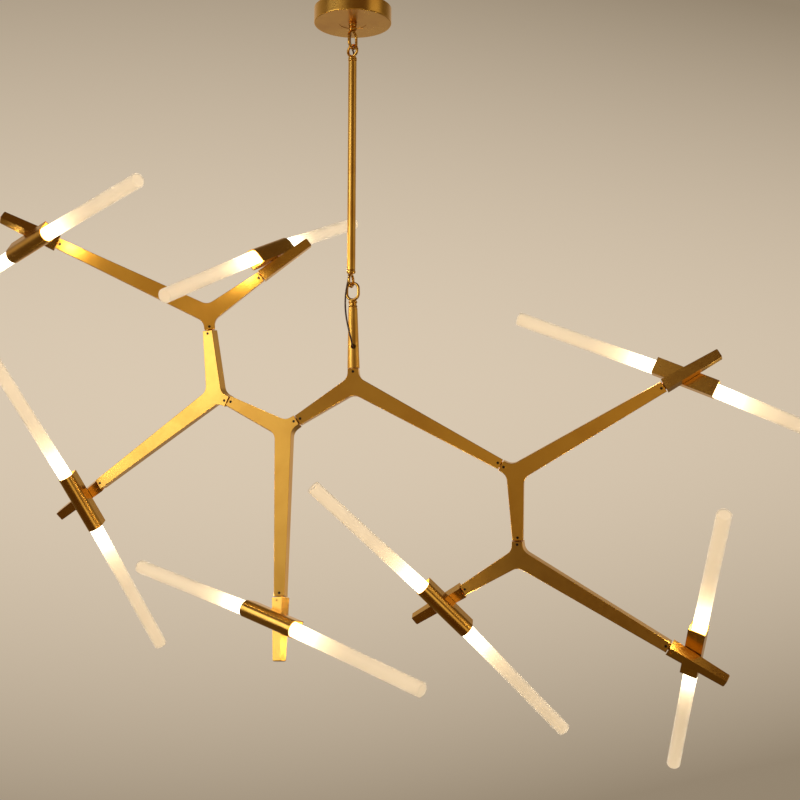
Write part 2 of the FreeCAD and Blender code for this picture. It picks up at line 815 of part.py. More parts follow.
def is_outline(edge):
    box = edge.BoundBox
    level = abs(abs(box.Center.z) - dim("plate_thickness") / 2) < dim("seat_gap")
    return level and box.ZLength < dim("seat_gap")


def make_plate(index, frames):
    """Flat three-armed plate with rounded crotches, bored along each arm for nipples and wires."""
    name = "plate_%d" % index
    arms = ("short", "mid", "long")
    body = doc.addObject("PartDesign::Body", name + "_body")
    for arm in arms:
        last = add_arm(body, name, arm)
    doc.recompute()
    crotches = body.newObject("PartDesign::Fillet", name + "_crotches")
    crotches.Base = (last, edge_names(last.Shape, is_crotch))
    crotches.setExpression("Radius", "Dims.crotch_radius")
    doc.recompute()
    bevel = body.newObject("PartDesign::Chamfer", name + "_edges")
    bevel.Base = (crotches, edge_names(crotches.Shape, is_outline))
    bevel.setExpression("Size", "Dims.plate_edge")
    doc.recompute()
    for arm in arms:
        bore_arm(body, name, arm)
        body.Tip = drill_arm(body, name, arm)
    subpart(name, body, frames[name])


def make_plate_joiners(index, frames):
    """Nipples at the middle and long arms' ends, and a set screw near each arm's end."""
    name = "plate_%d_joiners" % index
    pieces = []
    for arm in ("mid", "long"):
        pieces.append(nipple("%s_%s_nipple" % (name, arm), arm_turn(arm).multiply(shift(y=dim(arm + "_arm")))))
    for arm in ("short", "mid", "long"):
        distance = dim(arm + "_arm") - dim("joint_gap") / 2 - dim("set_screw_from_end")
        pieces.append(plate_screw("%s_%s_screw" % (name, arm), arm_turn(arm), distance))
    subpart(name, group(name + "_set", pieces), frames["plate_%d" % index])


# Lamp heads


def make_bar(index, side, frames):
    """Square tapered bar with its pivot bolt and set screw."""
    name = "bar_%d" % index
    start = "Dims.joint_gap / 2"
    root = "Dims.bar_root_width / 2"
    tip = "Dims.bar_end_width / 2"
    body = primitive(
        "Wedge",
        name + "_body",
        Xmin="-" + root,
        Xmax=root,
        Zmin="-" + root,
        Zmax=root,
        Ymin=start,
        Ymax="Dims.bar_length",
        X2min="-" + tip,
        X2max=tip,
        Z2min="-" + tip,
        Z2max=tip,
    )
    doc.recompute()
    bevel = doc.addObject("Part::Chamfer", name + "_bevel")
    bevel.Base = body
    size = dim("bar_end_chamfer")
    ends = [
        (i + 1, size, size) for i, edge in enumerate(body.Shape.Edges)
        if abs(edge.BoundBox.YMin - dim("bar_length")) < dim("seat_gap")
    ]
    bevel.Edges = ends
    along = turn(X_AXIS, -90)
    nipple_bore = cylinder(
        name + "_nipple_bore",
        "Dims.nipple_diameter / 2 + Dims.running_gap",
        "Dims.nipple_engagement + Dims.nipple_end_room + Dims.overrun",
        along,
        Placement__Base__y="-Dims.overrun",
    )
    wire_bore = cylinder(name + "_wire_bore", "Dims.wire_bore / 2", "Dims.pivot_from_joint", along)
    pivot_hole = cylinder(
        name + "_pivot_hole",
        "Dims.pivot_shank / 2 + Dims.seat_gap",
        "Dims.bar_root_width / 2 + Dims.overrun",
        Placement__Base__y="Dims.pivot_from_joint",
    )
    screw_place = shift(y=dim("joint_gap") / 2 + dim("set_screw_from_end"))
    if side < 0:
        screw_place = screw_place.multiply(turn(Y_AXIS, 180))
    screw_hole = cylinder(
        name + "_screw_hole", "Dims.set_screw / 2 + Dims.seat_gap", "Dims.bar_root_width", screw_place
    )
    solid = cut(name + "_cut", bevel, [nipple_bore, wire_bore, pivot_hole, screw_hole])
    depth = dim("bar_root_width") / 2 - dim("set_screw_sink") - dim("set_screw_length")
    screw = socket_screw(
        name + "_screw",
        "Dims.set_screw",
        "Dims.set_screw_length",
        "Dims.set_screw_socket",
        screw_place.multiply(shift(z=depth)),
    )
    subpart(name, group(name + "_set", [solid, screw, make_pivot(name)]), frames[name])


def make_pivot(name):
    """Hollow bolt from the bar's bore through the sleeve's flat: shank, spacer in the gap, head inside."""
    flat = "(Dims.sleeve_from_bar - Dims.sleeve_flat)"
    inner = flat + " + Dims.sleeve_wall + Dims.face_gap"
    taper = "(Dims.bar_root_width - Dims.bar_end_width) / 2 / Dims.bar_length"
    near = "(Dims.pivot_from_joint - Dims.pivot_spacer / 2)"
    base = "Dims.bar_root_width / 2 - %s * %s + Dims.seat_gap" % (taper, near)
    shank = cylinder(
        name + "_pivot_shank",
        "Dims.pivot_shank / 2",
        "%s + Dims.pivot_head_height - Dims.wire_bore / 2" % inner,
        Placement__Base__z="Dims.wire_bore / 2",
    )
    spacer = cylinder(
        name + "_pivot_spacer",
        "Dims.pivot_spacer / 2",
        "%s - Dims.face_gap - (%s)" % (flat, base),
        Placement__Base__z=base,
    )
    head = cylinder(
        name + "_pivot_head", "Dims.pivot_head / 2", "Dims.pivot_head_height", Placement__Base__z=inner
    )
    bore = cylinder(
        name + "_pivot_bore",
        "Dims.pivot_bore / 2",
        "Dims.sleeve_from_bar",
    )
    bolt = cut(name + "_pivot", fuse(name + "_pivot_body", [shank, spacer, head]), [bore])
    bolt.Placement = shift(y=dim("pivot_from_joint"))
    return bolt


def make_sleeve(index, frames):
    """Thin-walled sleeve, open at both ends, with its flat toward the bar and two small screws in the flat."""
    name = "sleeve_%d" % index
    body = doc.addObject("PartDesign::Body", name + "_body")
    section = new_sketch(body, name + "_section", "XZ_Plane")
    tombstone(section, "Dims.sleeve_width / 2", "Dims.sleeve_flat")
    tombstone(section, "Dims.sleeve_width / 2 - Dims.sleeve_wall", "Dims.sleeve_flat - Dims.sleeve_wall")
    pad = body.newObject("PartDesign::Pad", name + "_pad")
    pad.Profile = section
    pad.Midplane = True
    pad.setExpression("Length", "Dims.sleeve_length")
    holes = new_sketch(body, name + "_hole_places", "XY_Plane")
    circle(holes, "0", "0", "Dims.pivot_shank / 2 + Dims.running_gap")
    for side in ("-1 * ", ""):
        place = "%s(Dims.sleeve_length / 2 - Dims.sleeve_screw_from_end)" % side
        circle(holes, "0", place, "Dims.sleeve_screw / 2 + Dims.seat_gap")
    pocket = body.newObject("PartDesign::Pocket", name + "_holes")
    pocket.Profile = holes
    pocket.setExpression("Length", "Dims.sleeve_flat + Dims.overrun")
    body.Tip = pocket
    screws = []
    depth = dim("sleeve_flat") - dim("sleeve_screw_sink")
    length = "Dims.sleeve_flat - Dims.sleeve_screw_sink - Dims.glass_diameter / 2 - 3 * Dims.holder_gap"
    for side in (-1, 1):
        along = side * (dim("sleeve_length") / 2 - dim("sleeve_screw_from_end"))
        place = shift(y=along, z=-depth).multiply(turn(X_AXIS, 180))
        inward = place.multiply(shift(z=-(depth - dim("glass_diameter") / 2 - 3 * dim("holder_gap"))))
        screw_name = "%s_screw_%s" % (name, "left" if side < 0 else "right")
        screws.append(socket_screw(screw_name, "Dims.sleeve_screw", length, "Dims.sleeve_screw_socket", inward))
    subpart(name, group(name + "_set", [body] + screws), frames[name])


def dipped(sleeve_frame, side):
    """Turn from Z to a glass tube's direction in its sleeve's own frame: outward, dipped by its weight."""
    outward = sleeve_frame.Rotation.multVec(Vector(0, side, 0))
    upward = Z_AXIS - outward * outward.z
    upward.normalize()
    dip = math.radians(dim("glass_droop"))
    direction = outward * math.cos(dip) - upward * math.sin(dip)
    return Rotation(Z_AXIS, sleeve_frame.Rotation.inverted().multVec(direction))


def glass_tube(name, place):
    """Tube along its own Z with a closed, rounded end; its own origin is where it rests in the sleeve."""
    length = "Dims.glass_reach - Dims.glass_start"
    outside = cylinder(name + "_outside", "Dims.glass_diameter / 2", length)
    doc.recompute()
    far = [i + 1 for i, edge in enumerate(outside.Shape.Edges) if edge.BoundBox.ZMin > dim("glass_reach") / 2]
    rounded = doc.addObject("Part::Fillet", name + "_rounded")
    rounded.Base = outside
    rounded.Edges = [(i, dim("glass_end_radius"), dim("glass_end_radius")) for i in far]
    inside = cylinder(
        name + "_inside",
        "Dims.glass_diameter / 2 - Dims.glass_wall",
        length + " - Dims.glass_end_wall + Dims.overrun",
        Placement__Base__z="-Dims.overrun",
    )
    result = cut(name, rounded, [inside])
    result.Placement = place.multiply(shift(z=dim("glass_start") - dim("glass_seat")))
    return result


def make_glass(index, frames):
    name = "glass_tubes_%d" % index
    frame = frames["sleeve_%d" % index]
    pieces = []
    for side, word in ((-1, "left"), (1, "right")):
        seat = Placement(Vector(0, side * dim("glass_seat"), 0), dipped(frame, side))
        pieces.append(glass_tube("%s_%s" % (name, word), seat))
    subpart(name, group(name + "_pair", pieces), frame)


def make_holders(index, frames):
    """Two lampholders back to back, each with a neck that the glass slips over."""
    name = "lampholders_%d" % index
    pieces = []
    for side, word in ((1, "left"), (-1, "right")):
        facing = turn(X_AXIS, side * 90)
        base = cylinder(
            "%s_%s_base" % (name, word),
            "Dims.sleeve_width / 2 - Dims.sleeve_wall - Dims.holder_gap",
            "Dims.holder_length",
            Placement__Base__z="Dims.holder_start",
        )
        neck = cylinder(
            "%s_%s_neck" % (name, word),
            "Dims.holder_neck_diameter / 2",
            "Dims.holder_length + Dims.holder_neck_length",
            Placement__Base__z="Dims.holder_start",
        )
        holder = fuse("%s_%s" % (name, word), [base, neck])
        holder.Placement = facing
        pieces.append(holder)
    subpart(name, group(name + "_pair", pieces), frames["sleeve_%d" % index])


def make_bulbs(index, frames):
    """Two capsule bulbs, each on its lampholder's neck."""
    name = "bulbs_%d" % index
    start = "Dims.holder_start + Dims.holder_length + Dims.holder_neck_length + Dims.seat_gap"
    straight = "Dims.bulb_length - Dims.bulb_diameter / 2"
    pieces = []
    for side, word in ((1, "left"), (-1, "right")):
        stem = cylinder("%s_%s_stem" % (name, word), "Dims.bulb_diameter / 2", straight, Placement__Base__z=start)
        dome = primitive(
            "Sphere",
            "%s_%s_dome" % (name, word),
            Radius="Dims.bulb_diameter / 2",
            Placement__Base__z="%s + %s" % (start, straight),
        )
        bulb = fuse("%s_%s" % (name, word), [stem, dome])
        bulb.Placement = turn(X_AXIS, side * 90)
        pieces.append(bulb)
    subpart(name, group(name + "_pair", pieces), frames["sleeve_%d" % index])


# Cables: straight runs joined by tangent arcs, each as large as its two runs allow


def cable_path(points):
    """Return the path's edges and the radius of each arc."""
    vectors = [Vector(*point) for point in points]
    run_share = 0.45
    edges = []
    radii = []
    last = vectors[0]
    for before, corner, after in zip(vectors, vectors[1:], vectors[2:]):
        into = corner - before
        out = after - corner
        trim = run_share * min(into.Length, out.Length)
        half_turn = into.getAngle(out) / 2
        radii.append(trim / math.tan(half_turn))
        into.normalize()
        out.normalize()
        start = corner - into * trim
        end = corner + out * trim
        bisector = out - into
        bisector.normalize()
        inset = radii[-1] / math.cos(half_turn) - radii[-1]
        edges.append(Part.LineSegment(last, start).toShape())
        edges.append(Part.Arc(start, corner + bisector * inset, end).toShape())
        last = end
    edges.append(Part.LineSegment(last, vectors[-1]).toShape())
    return edges, radii


def make_cable(label, points):
    edges, radii = cable_path(points)
    wire = Part.Wire(edges)
    radius = dim("cable_diameter") / 2
    start = Vector(*points[0])
    profile = Part.Wire([Part.Circle(start, Vector(*points[1]) - start, radius).toShape()])
    shape = wire.makePipeShell([profile], True, False)
    expected = math.pi * radius * radius * wire.Length
    print(label, "length %.1f" % wire.Length, "volume/expected %.5f" % (shape.Volume / expected))
    print(label, "arc radii", " ".join("%.1f" % value for value in radii))
    piece = doc.addObject("Part::Feature", label)
    piece.Shape = shape
    subpart(label, piece, shift())


def check_and_write():
    """Stop on any failed object or bad shape, then write one file for each node."""
    doc.recompute()
    for item in doc.Objects:
        if "Invalid" in item.State or "Error" in item.State:
            raise RuntimeError("failed object: %s %s" % (item.Name, item.State))
    for label, piece in SUBPARTS.items():
        if piece.Shape.isNull() or not piece.Shape.isValid() or not piece.Shape.Solids:
            raise RuntimeError("bad shape: " + label)
    os.makedirs("parts", exist_ok=True)
    for label, piece in SUBPARTS.items():
        piece.Shape.exportStep("parts/%s.step" % label)
    print("nodes", len(SUBPARTS))


def build():
    fill_sheet()
    frames = tree_frames(hanging_frames())
    make_bracket()
    make_canopy_cover()
    make_canopy_nipple(frames)
    make_terminal_block()
    make_canopy_loop(frames)
    make_rod_loop("rod_top_loop", "Dims.rod_top_collar_height", "Dims.rod_top_ring_width", "", frames)
    make_rod_loop("rod_bottom_loop", "Dims.rod_bottom_collar_height", "Dims.rod_bottom_ring_width", "-", frames)
    make_rod(frames)
    make_stub_loop(frames)
    make_stub(frames)
    make_stub_nipple(frames)
    make_cable("upper_cable", UPPER_CABLE_ROUTE)
    make_cable("lower_cable", LOWER_CABLE_ROUTE)
    for index in range(1, len(PLATES) + 2):
        make_plate(index, frames)
        make_plate_joiners(index, frames)
    for index, _plate, _arm, side in HEADS:
        make_bar(index, side, frames)
        make_sleeve(index, frames)
        make_glass(index, frames)
        make_holders(index, frames)
        make_bulbs(index, frames)
    check_and_write()
    return frames


FRAMES = build()
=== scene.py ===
import json
import math

import bmesh
import bpy
import numpy as np
from bpy.props import FloatProperty, FloatVectorProperty, IntProperty, PointerProperty
from mathutils import Matrix, Vector

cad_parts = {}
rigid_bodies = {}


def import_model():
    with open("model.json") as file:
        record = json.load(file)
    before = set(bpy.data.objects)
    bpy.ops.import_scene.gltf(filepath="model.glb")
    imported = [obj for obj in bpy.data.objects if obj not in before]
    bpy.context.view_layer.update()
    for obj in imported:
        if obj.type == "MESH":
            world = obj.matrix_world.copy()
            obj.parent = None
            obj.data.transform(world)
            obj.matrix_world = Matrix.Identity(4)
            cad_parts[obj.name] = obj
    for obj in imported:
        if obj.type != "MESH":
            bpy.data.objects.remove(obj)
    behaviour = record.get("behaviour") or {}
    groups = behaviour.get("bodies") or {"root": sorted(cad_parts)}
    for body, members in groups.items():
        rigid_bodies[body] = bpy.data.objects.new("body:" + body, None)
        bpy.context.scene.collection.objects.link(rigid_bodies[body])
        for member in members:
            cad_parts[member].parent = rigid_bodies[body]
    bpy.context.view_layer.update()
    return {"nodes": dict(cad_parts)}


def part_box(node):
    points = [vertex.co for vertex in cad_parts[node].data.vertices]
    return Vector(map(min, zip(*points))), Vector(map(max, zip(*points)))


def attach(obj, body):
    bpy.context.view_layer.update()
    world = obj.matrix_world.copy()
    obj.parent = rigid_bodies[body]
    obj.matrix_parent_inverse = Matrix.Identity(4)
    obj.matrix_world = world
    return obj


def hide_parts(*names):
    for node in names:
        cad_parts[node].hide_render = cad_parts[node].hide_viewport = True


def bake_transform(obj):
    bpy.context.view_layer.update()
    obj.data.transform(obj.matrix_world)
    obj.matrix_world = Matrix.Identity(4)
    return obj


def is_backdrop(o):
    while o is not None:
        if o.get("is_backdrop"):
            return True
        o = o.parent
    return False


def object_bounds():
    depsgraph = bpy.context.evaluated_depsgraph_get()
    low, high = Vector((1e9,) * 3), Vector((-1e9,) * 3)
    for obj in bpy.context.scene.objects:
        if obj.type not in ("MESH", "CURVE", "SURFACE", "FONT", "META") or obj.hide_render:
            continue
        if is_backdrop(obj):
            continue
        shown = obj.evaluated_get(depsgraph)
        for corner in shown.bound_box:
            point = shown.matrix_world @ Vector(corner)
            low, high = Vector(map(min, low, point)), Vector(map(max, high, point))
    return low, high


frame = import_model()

bl_info = {
    "name": "Sputnik Chandelier",
    "version": (1, 0, 0),
    "blender": (4, 5, 0),
    "location": "3D View > Sidebar > Chandelier",
    "description": "Finishes, frosted tubes, fastenings and cables of a branching brass chandelier",
    "category": "Object",
}

PLATES = range(1, 7)
HEADS = range(1, 8)

# The cables' routes in metres: out of one loop's collar, past the linked rings, and into the next piece.
LOWER_ROUTE = [
    (-0.003336, 0.001214, -0.4100),
    (-0.003336, 0.001214, -0.4200),
    (-0.0055, -0.0008, -0.4330),
    (-0.0080, -0.0046, -0.4470),
    (-0.0089, -0.0086, -0.4640),
    (-0.0076, -0.0124, -0.4840),
    (-0.0032, -0.0152, -0.5050),
    (0.0008, -0.0146, -0.5210),
    (0.0030, -0.0096, -0.5308),
    (0.0036, -0.0012, -0.5345),
]
UPPER_ROUTE = [
    (-0.002835, 0.002136, -0.0300),
    (-0.002835, 0.002136, -0.0385),
    (-0.0043, 0.0064, -0.0460),
    (-0.0032, 0.0110, -0.0530),
    (-0.0006, 0.0114, -0.0600),
    (0.0016, 0.0080, -0.0663),
    (0.002136, 0.002835, -0.0723),
    (0.002136, 0.002835, -0.0830),
]

# The backdrop is brightest in one direction, given by the x and z of a unit vector, and falls off with the
# squares of the distances from it.
BRIGHTEST_X = -0.12
BRIGHTEST_Z = 0.085
FALL_WITH_HEIGHT = 5.4
FALL_TO_CORNERS = 12.0
FALL_TO_SIDES = 0.45
LEAST_BACKDROP = 0.33
FALL_IN_REFLECTIONS = 0.4

# Light patches of the room that reflections show: azimuth and elevation in degrees, the cosines of the angles
# at which a patch begins and is full, and the setting with its colour.
PATCHES = (
    (-2.0, -6.0, 0.93, 0.995, "room_middle"),
    (30.0, -20.0, 0.955, 0.995, "room_low"),
    (70.0, 16.0, 0.90, 0.97, "room_right"),
)

# Area lamps: name, azimuth and elevation in degrees, width and height in metres, colour, and the setting with
# its brightness.
LAMPS = (
    ("softbox_left", -59.0, 8.0, 1.35, 1.7, (0.85, 0.90, 1.0), "softbox"),
    ("softbox_high", -34.0, 21.0, 1.0, 0.9, (1.0, 0.94, 0.84), "softbox_high"),
)
LAMP_DISTANCE = 2.4
ROOM_LIGHT_COLOUR = (1.0, 0.97, 0.92, 1.0)
FLOOR_BELOW = 1.95
FLOOR_RADIUS = 2.4


# Settings that a user would change


def length(name, description, default):
    return FloatProperty(
        name=name, description=description, default=default, min=0.0, unit="LENGTH", precision=5
    )


def share(name, description, default):
    return FloatProperty(
        name=name, description=description, default=default, min=0.0, max=1.0, subtype="FACTOR"
    )


def number(name, description, default):
    return FloatProperty(name=name, description=description, default=default, min=0.0)


def facets(name, description, default, least):
    return IntProperty(name=name, description=description, default=default, min=least)


def angle(name, description, degrees):
    return FloatProperty(name=name, description=description, default=math.radians(degrees), subtype="ANGLE")


def colour(name, description, default):
    return FloatVectorProperty(
        name=name, description=description, default=default, size=3, min=0.0, max=1.0, subtype="COLOR"
    )


class ChandelierSizes(bpy.types.PropertyGroup):
    """Sizes of the pieces that are modelled here."""

    glass_wall: length("Glass wall", "Thickness of a frosted tube's side", 0.0015)
    glass_end_wall: length("Glass end", "Thickness of a tube's closed end", 0.0020)
    glass_end_radius: length("Glass end rounding", "Rounding of the closed end's rim", 0.0025)
    glass_lip: length("Glass lip", "Fire polished rounding of the open end", 0.0006)
    glass_sides: facets("Glass sides", "Facets round a tube", 64, 12)
    fitting_sides: facets("Fitting sides", "Facets round a screw or nipple", 36, 12)
    thread_pitch: length("Thread pitch", "Distance between two turns of a nipple's thread", 0.0010)
    thread_depth: length("Thread depth", "Depth of a nipple's thread", 0.0004)
    nipple_bore: length("Nipple bore", "Diameter of the wire way in a nipple", 0.0070)
    socket_across: length("Socket", "Size of a set screw's hexagon over its corners", 0.0023)
    socket_depth: length("Socket depth", "Depth of a set screw's hexagon", 0.0016)
    screw_chamfer: length("Screw chamfer", "Bevel round a set screw's face", 0.00035)
    cable_diameter: length("Cable", "Diameter of the round cable", 0.0027)
    cable_sides: facets("Cable sides", "Facets round the cable", 20, 8)


class ChandelierFinishes(bpy.types.PropertyGroup):
    """Colours and finishes of the real materials."""

    brass: colour("Brass", "Satin brass where it is clean", (0.80, 0.445, 0.076))
    brass_deep: colour("Deep brass", "Brass where the lacquer has toned it", (0.66, 0.32, 0.046))
    brass_roughness: share("Brass roughness", "Softness of the satin finish", 0.30)
    lacquer: share("Lacquer", "How much of a clear coat lies on the brass", 0.10)
    screw: colour("Turned brass", "Brass of the nipples and the canopy's nut", (0.70, 0.42, 0.12))
    set_screw: colour("Set screw", "Blackened steel of the set screws", (0.05, 0.04, 0.03))
    glass: colour("Glass", "Frosted glass", (0.96, 0.89, 0.78))
    frost: share("Frost", "Roughness of the frosted glass", 0.42)
    clear: share("Clearness", "How much light passes through the frosted glass", 0.86)
    glow_hot: colour("Hot glow", "Glass right beside the bulb", (1.0, 0.93, 0.72))
    glow_warm: colour("Warm glow", "Glass past the bulb's end", (1.0, 0.74, 0.38))
    glow_strength: number("Glow", "Strength of the lit glass", 1.6)
    glow_length: length("Lit length", "Length of a tube that the bulb lights up", 0.047)
    glow_fade: length("Fade", "Length over which the light falls to about a third", 0.025)
    glow_least: share("Least glow", "Light at a tube's far end, as a share of the full glow", 0.030)
    bulb_power: number("Bulb power", "Light that each bulb sheds, in watts", 0.45)
    bulb_reach: length("Bulb place", "Distance from a tube's open end to the middle of its light", 0.055)
    bulb_radius: length("Bulb radius", "Radius of the light in a tube", 0.016)
    bulb_light: colour("Bulb light", "Colour of the light that the bulbs shed", (1.0, 0.86, 0.58))
    sheath: colour("Cable sheath", "Dark brown cable", (0.035, 0.012, 0.004))
    ceramic: colour("Ceramic", "Lampholder ceramic", (0.80, 0.77, 0.70))
    plastic: colour("Plastic", "Terminal block", (0.75, 0.74, 0.70))
    steel: colour("Steel", "Zinc plated bracket", (0.62, 0.62, 0.60))


class ChandelierStage(bpy.types.PropertyGroup):
    """Camera, lamps and surroundings."""

    camera_back: length("Camera distance", "Distance of the camera in front of the canopy's centre", 1.89451)
    camera_drop: length("Camera drop", "Distance of the camera below the ceiling", 0.76172)
    pitch: angle("Pitch", "How far the camera looks up", 5.111)
    yaw: angle("Yaw", "How far the camera looks to the right", 2.275)
    roll: angle("Roll", "How far the camera leans", 0.171)
    lens: FloatProperty(name="Lens", description="Focal length of the camera, in millimetres", default=56.427)
    shift: FloatProperty(name="Shift", description="Upward shift of the picture", default=-0.01505)
    backdrop: colour("Backdrop", "Colour of the surroundings behind the object", (0.70, 0.585, 0.445))
    backdrop_edge: colour("Backdrop edge", "Colour that the backdrop falls off to", (0.10, 0.065, 0.025))
    room_middle: colour("Room middle", "Lighter part of the room, straight in front", (0.58, 0.42, 0.18))
    room_low: colour("Room below", "Light patch of the room at the lower right", (1.0, 0.86, 0.62))
    room_right: colour("Room at the right", "Light patch of the room at the right", (0.60, 0.48, 0.32))
    room: colour("Room", "Dim room in front, which only reflections show", (0.08, 0.034, 0.005))
    floor: colour("Floor", "Colour of the floor", (0.62, 0.56, 0.47))
    room_light: number("Room light", "Light from all round", 0.75)
    softbox: number("Softbox", "Brightness of the large lamp at the left", 2.9)
    softbox_high: number("High softbox", "Brightness of the smaller and higher lamp at the left", 0.78)


# Node helpers


def fill(tree, made, inputs):
    """Sets a node's inputs. A value that is a socket is linked, and any other value is set."""
    for key, value in inputs.items():
        if isinstance(value, bpy.types.NodeSocket):
            tree.links.new(value, made.inputs[key])
        else:
            made.inputs[key].default_value = value


def node(tree, kind, inputs=None, **settings):
    """A new node with its settings and inputs."""
    made = tree.nodes.new(kind)
    for name, value in settings.items():
        setattr(made, name, value)
    fill(tree, made, inputs or {})
    return made


def calculate(tree, operation, first, second=0.0, third=0.0):
    """The result of a Math node."""
    return node(tree, "ShaderNodeMath", {0: first, 1: second, 2: third}, operation=operation).outputs[0]


def times(tree, first, second):
    return calculate(tree, "MULTIPLY", first, second)


def minus(tree, first, second):
    return calculate(tree, "SUBTRACT", first, second)


def spread(tree, value, low, high, out_low=0.0, out_high=1.0):
    """The result of a Map Range node with soft ends."""
    inputs = {"Value": value, 1: low, 2: high, 3: out_low, 4: out_high}
    return node(tree, "ShaderNodeMapRange", inputs, interpolation_type="SMOOTHSTEP").outputs[0]


def mixed(tree, factor, first, second):
    """A colour between two others."""
    return node(tree, "ShaderNodeMix", {0: factor, 6: first, 7: second}, data_type="RGBA").outputs[2]


def noise(tree, place, scale, **more):
    """The value of a Noise Texture node."""
    return node(tree, "ShaderNodeTexNoise", {"Vector": place, "Scale": scale, **more}).outputs[0]


def about_z(tree, place):
    """The three parts of a place, and its distance from the Z axis."""
    parts = node(tree, "ShaderNodeSeparateXYZ", {0: place}).outputs
    flat = node(tree, "ShaderNodeCombineXYZ", {0: parts[0], 1: parts[1]}).outputs[0]
    return parts, node(tree, "ShaderNodeVectorMath", {0: flat}, operation="LENGTH").outputs["Value"]


def rgba(value):
    return (*value, 1.0)


def shade(tint, factor):
    """A lighter or darker colour of the same kind."""
    return rgba(part * factor for part in tint)


def floats(*names):
    return dict.fromkeys(names, "Float")


def group(name, kind, inputs, outputs):
    """A new node group with its named sockets, its input node and its output node."""
    tree = bpy.data.node_groups.new(name, kind)
    for in_out, sockets in (("INPUT", inputs), ("OUTPUT", outputs)):
        for label, socket in sockets.items():
            tree.interface.new_socket(name=label, in_out=in_out, socket_type="NodeSocket" + socket)
    return tree, tree.nodes.new("NodeGroupInput").outputs, tree.nodes.new("NodeGroupOutput").inputs


def grouped(tree, name, inputs):
    """The outputs of a node that uses one of the shared groups of its kind of tree."""
    kind = tree.bl_idname.replace("Tree", "Group")
    return node(tree, kind, inputs, node_tree=bpy.data.node_groups[name]).outputs


# Shared effects of the surfaces


def make_satin_grain():
    """Fine grain of a blasted or brushed metal face: a height, and a mask for uneven gloss."""
    inputs = {"Vector": "Vector", "Stretch": "Vector", "Scale": "Float"}
    tree, given, result = group("satin_grain", "ShaderNodeTree", inputs, floats("Height", "Gloss"))
    factors = {0: given["Vector"], 1: given["Stretch"]}
    place = node(tree, "ShaderNodeVectorMath", factors, operation="MULTIPLY").outputs[0]
    fine = noise(tree, place, given["Scale"], Detail=3.0, Roughness=0.65)
    wide = noise(tree, place, times(tree, given["Scale"], 0.04), Detail=2.0)
    tree.links.new(fine, result["Height"])
    tree.links.new(spread(tree, wide, 0.3, 0.7), result["Gloss"])


def make_handling():
    """Cloudy mask of places that hands and polish have toned."""
    inputs = {"Vector": "Vector", **floats("Scale", "Amount")}
    tree, given, result = group("handling", "ShaderNodeTree", inputs, floats("Mask"))
    cloud = noise(tree, given["Vector"], given["Scale"], Detail=5.0, Roughness=0.55, Distortion=0.4)
    mask = spread(tree, cloud, 0.38, 0.72)
    tree.links.new(times(tree, mask, given["Amount"]), result["Mask"])


def make_spun_rings():
    """Fine turning marks round the vertical axis, from the radius, the height and a little noise."""
    inputs = {"Vector": "Vector", "Scale": "Float"}
    tree, given, result = group("spun_rings", "ShaderNodeTree", inputs, floats("Height"))
    parts, radius = about_z(tree, given["Vector"])
    marks = {"W": calculate(tree, "ADD", radius, parts[2]), "Scale": given["Scale"], "Detail": 4.0}
    line = node(tree, "ShaderNodeTexNoise", marks, noise_dimensions="1D")
    tree.links.new(line.outputs[0], result["Height"])


def make_glow():
    """Light of the bulb in a frosted tube: full beside the bulb, then fading out along the tube."""
    inputs = {**floats("Distance", "Lit Length", "Fade", "Least"), "Hot": "Color", "Warm": "Color"}
    tree, given, result = group("glow", "ShaderNodeTree", inputs, {"Light": "Color"})
    past = minus(tree, given["Distance"], given["Lit Length"])
    past = calculate(tree, "MAXIMUM", past, 0.0)
    fading = times(tree, calculate(tree, "DIVIDE", past, given["Fade"]), -1.0)
    level = calculate(tree, "MAXIMUM", calculate(tree, "EXPONENT", fading), given["Least"])
    tint = mixed(tree, spread(tree, level, 0.03, 0.6), given["Warm"], given["Hot"])
    light = node(tree, "ShaderNodeVectorMath", {0: tint, "Scale": level}, operation="SCALE").outputs[0]
    tree.links.new(light, result["Light"])


# Materials


def new_material(name):
    """A material with its shader, its node tree and Object coordinates."""
    made = bpy.data.materials.new(name)
    made.use_nodes = True
    tree = made.node_tree
    shader = tree.nodes["Principled BSDF"]
    place = node(tree, "ShaderNodeTexCoord").outputs["Object"]
    return made, tree, shader, place


def bump(tree, height, distance, strength):
    inputs = {"Height": height, "Distance": distance, "Strength": strength}
    return node(tree, "ShaderNodeBump", inputs).outputs[0]


def clouded(tree, place, scale, amount):
    return grouped(tree, "handling", {"Vector": place, "Scale": scale, "Amount": amount})[0]


def grained(tree, place, scale, stretch=(1.0, 1.0, 1.0)):
    return grouped(tree, "satin_grain", {"Vector": place, "Stretch": stretch, "Scale": scale})


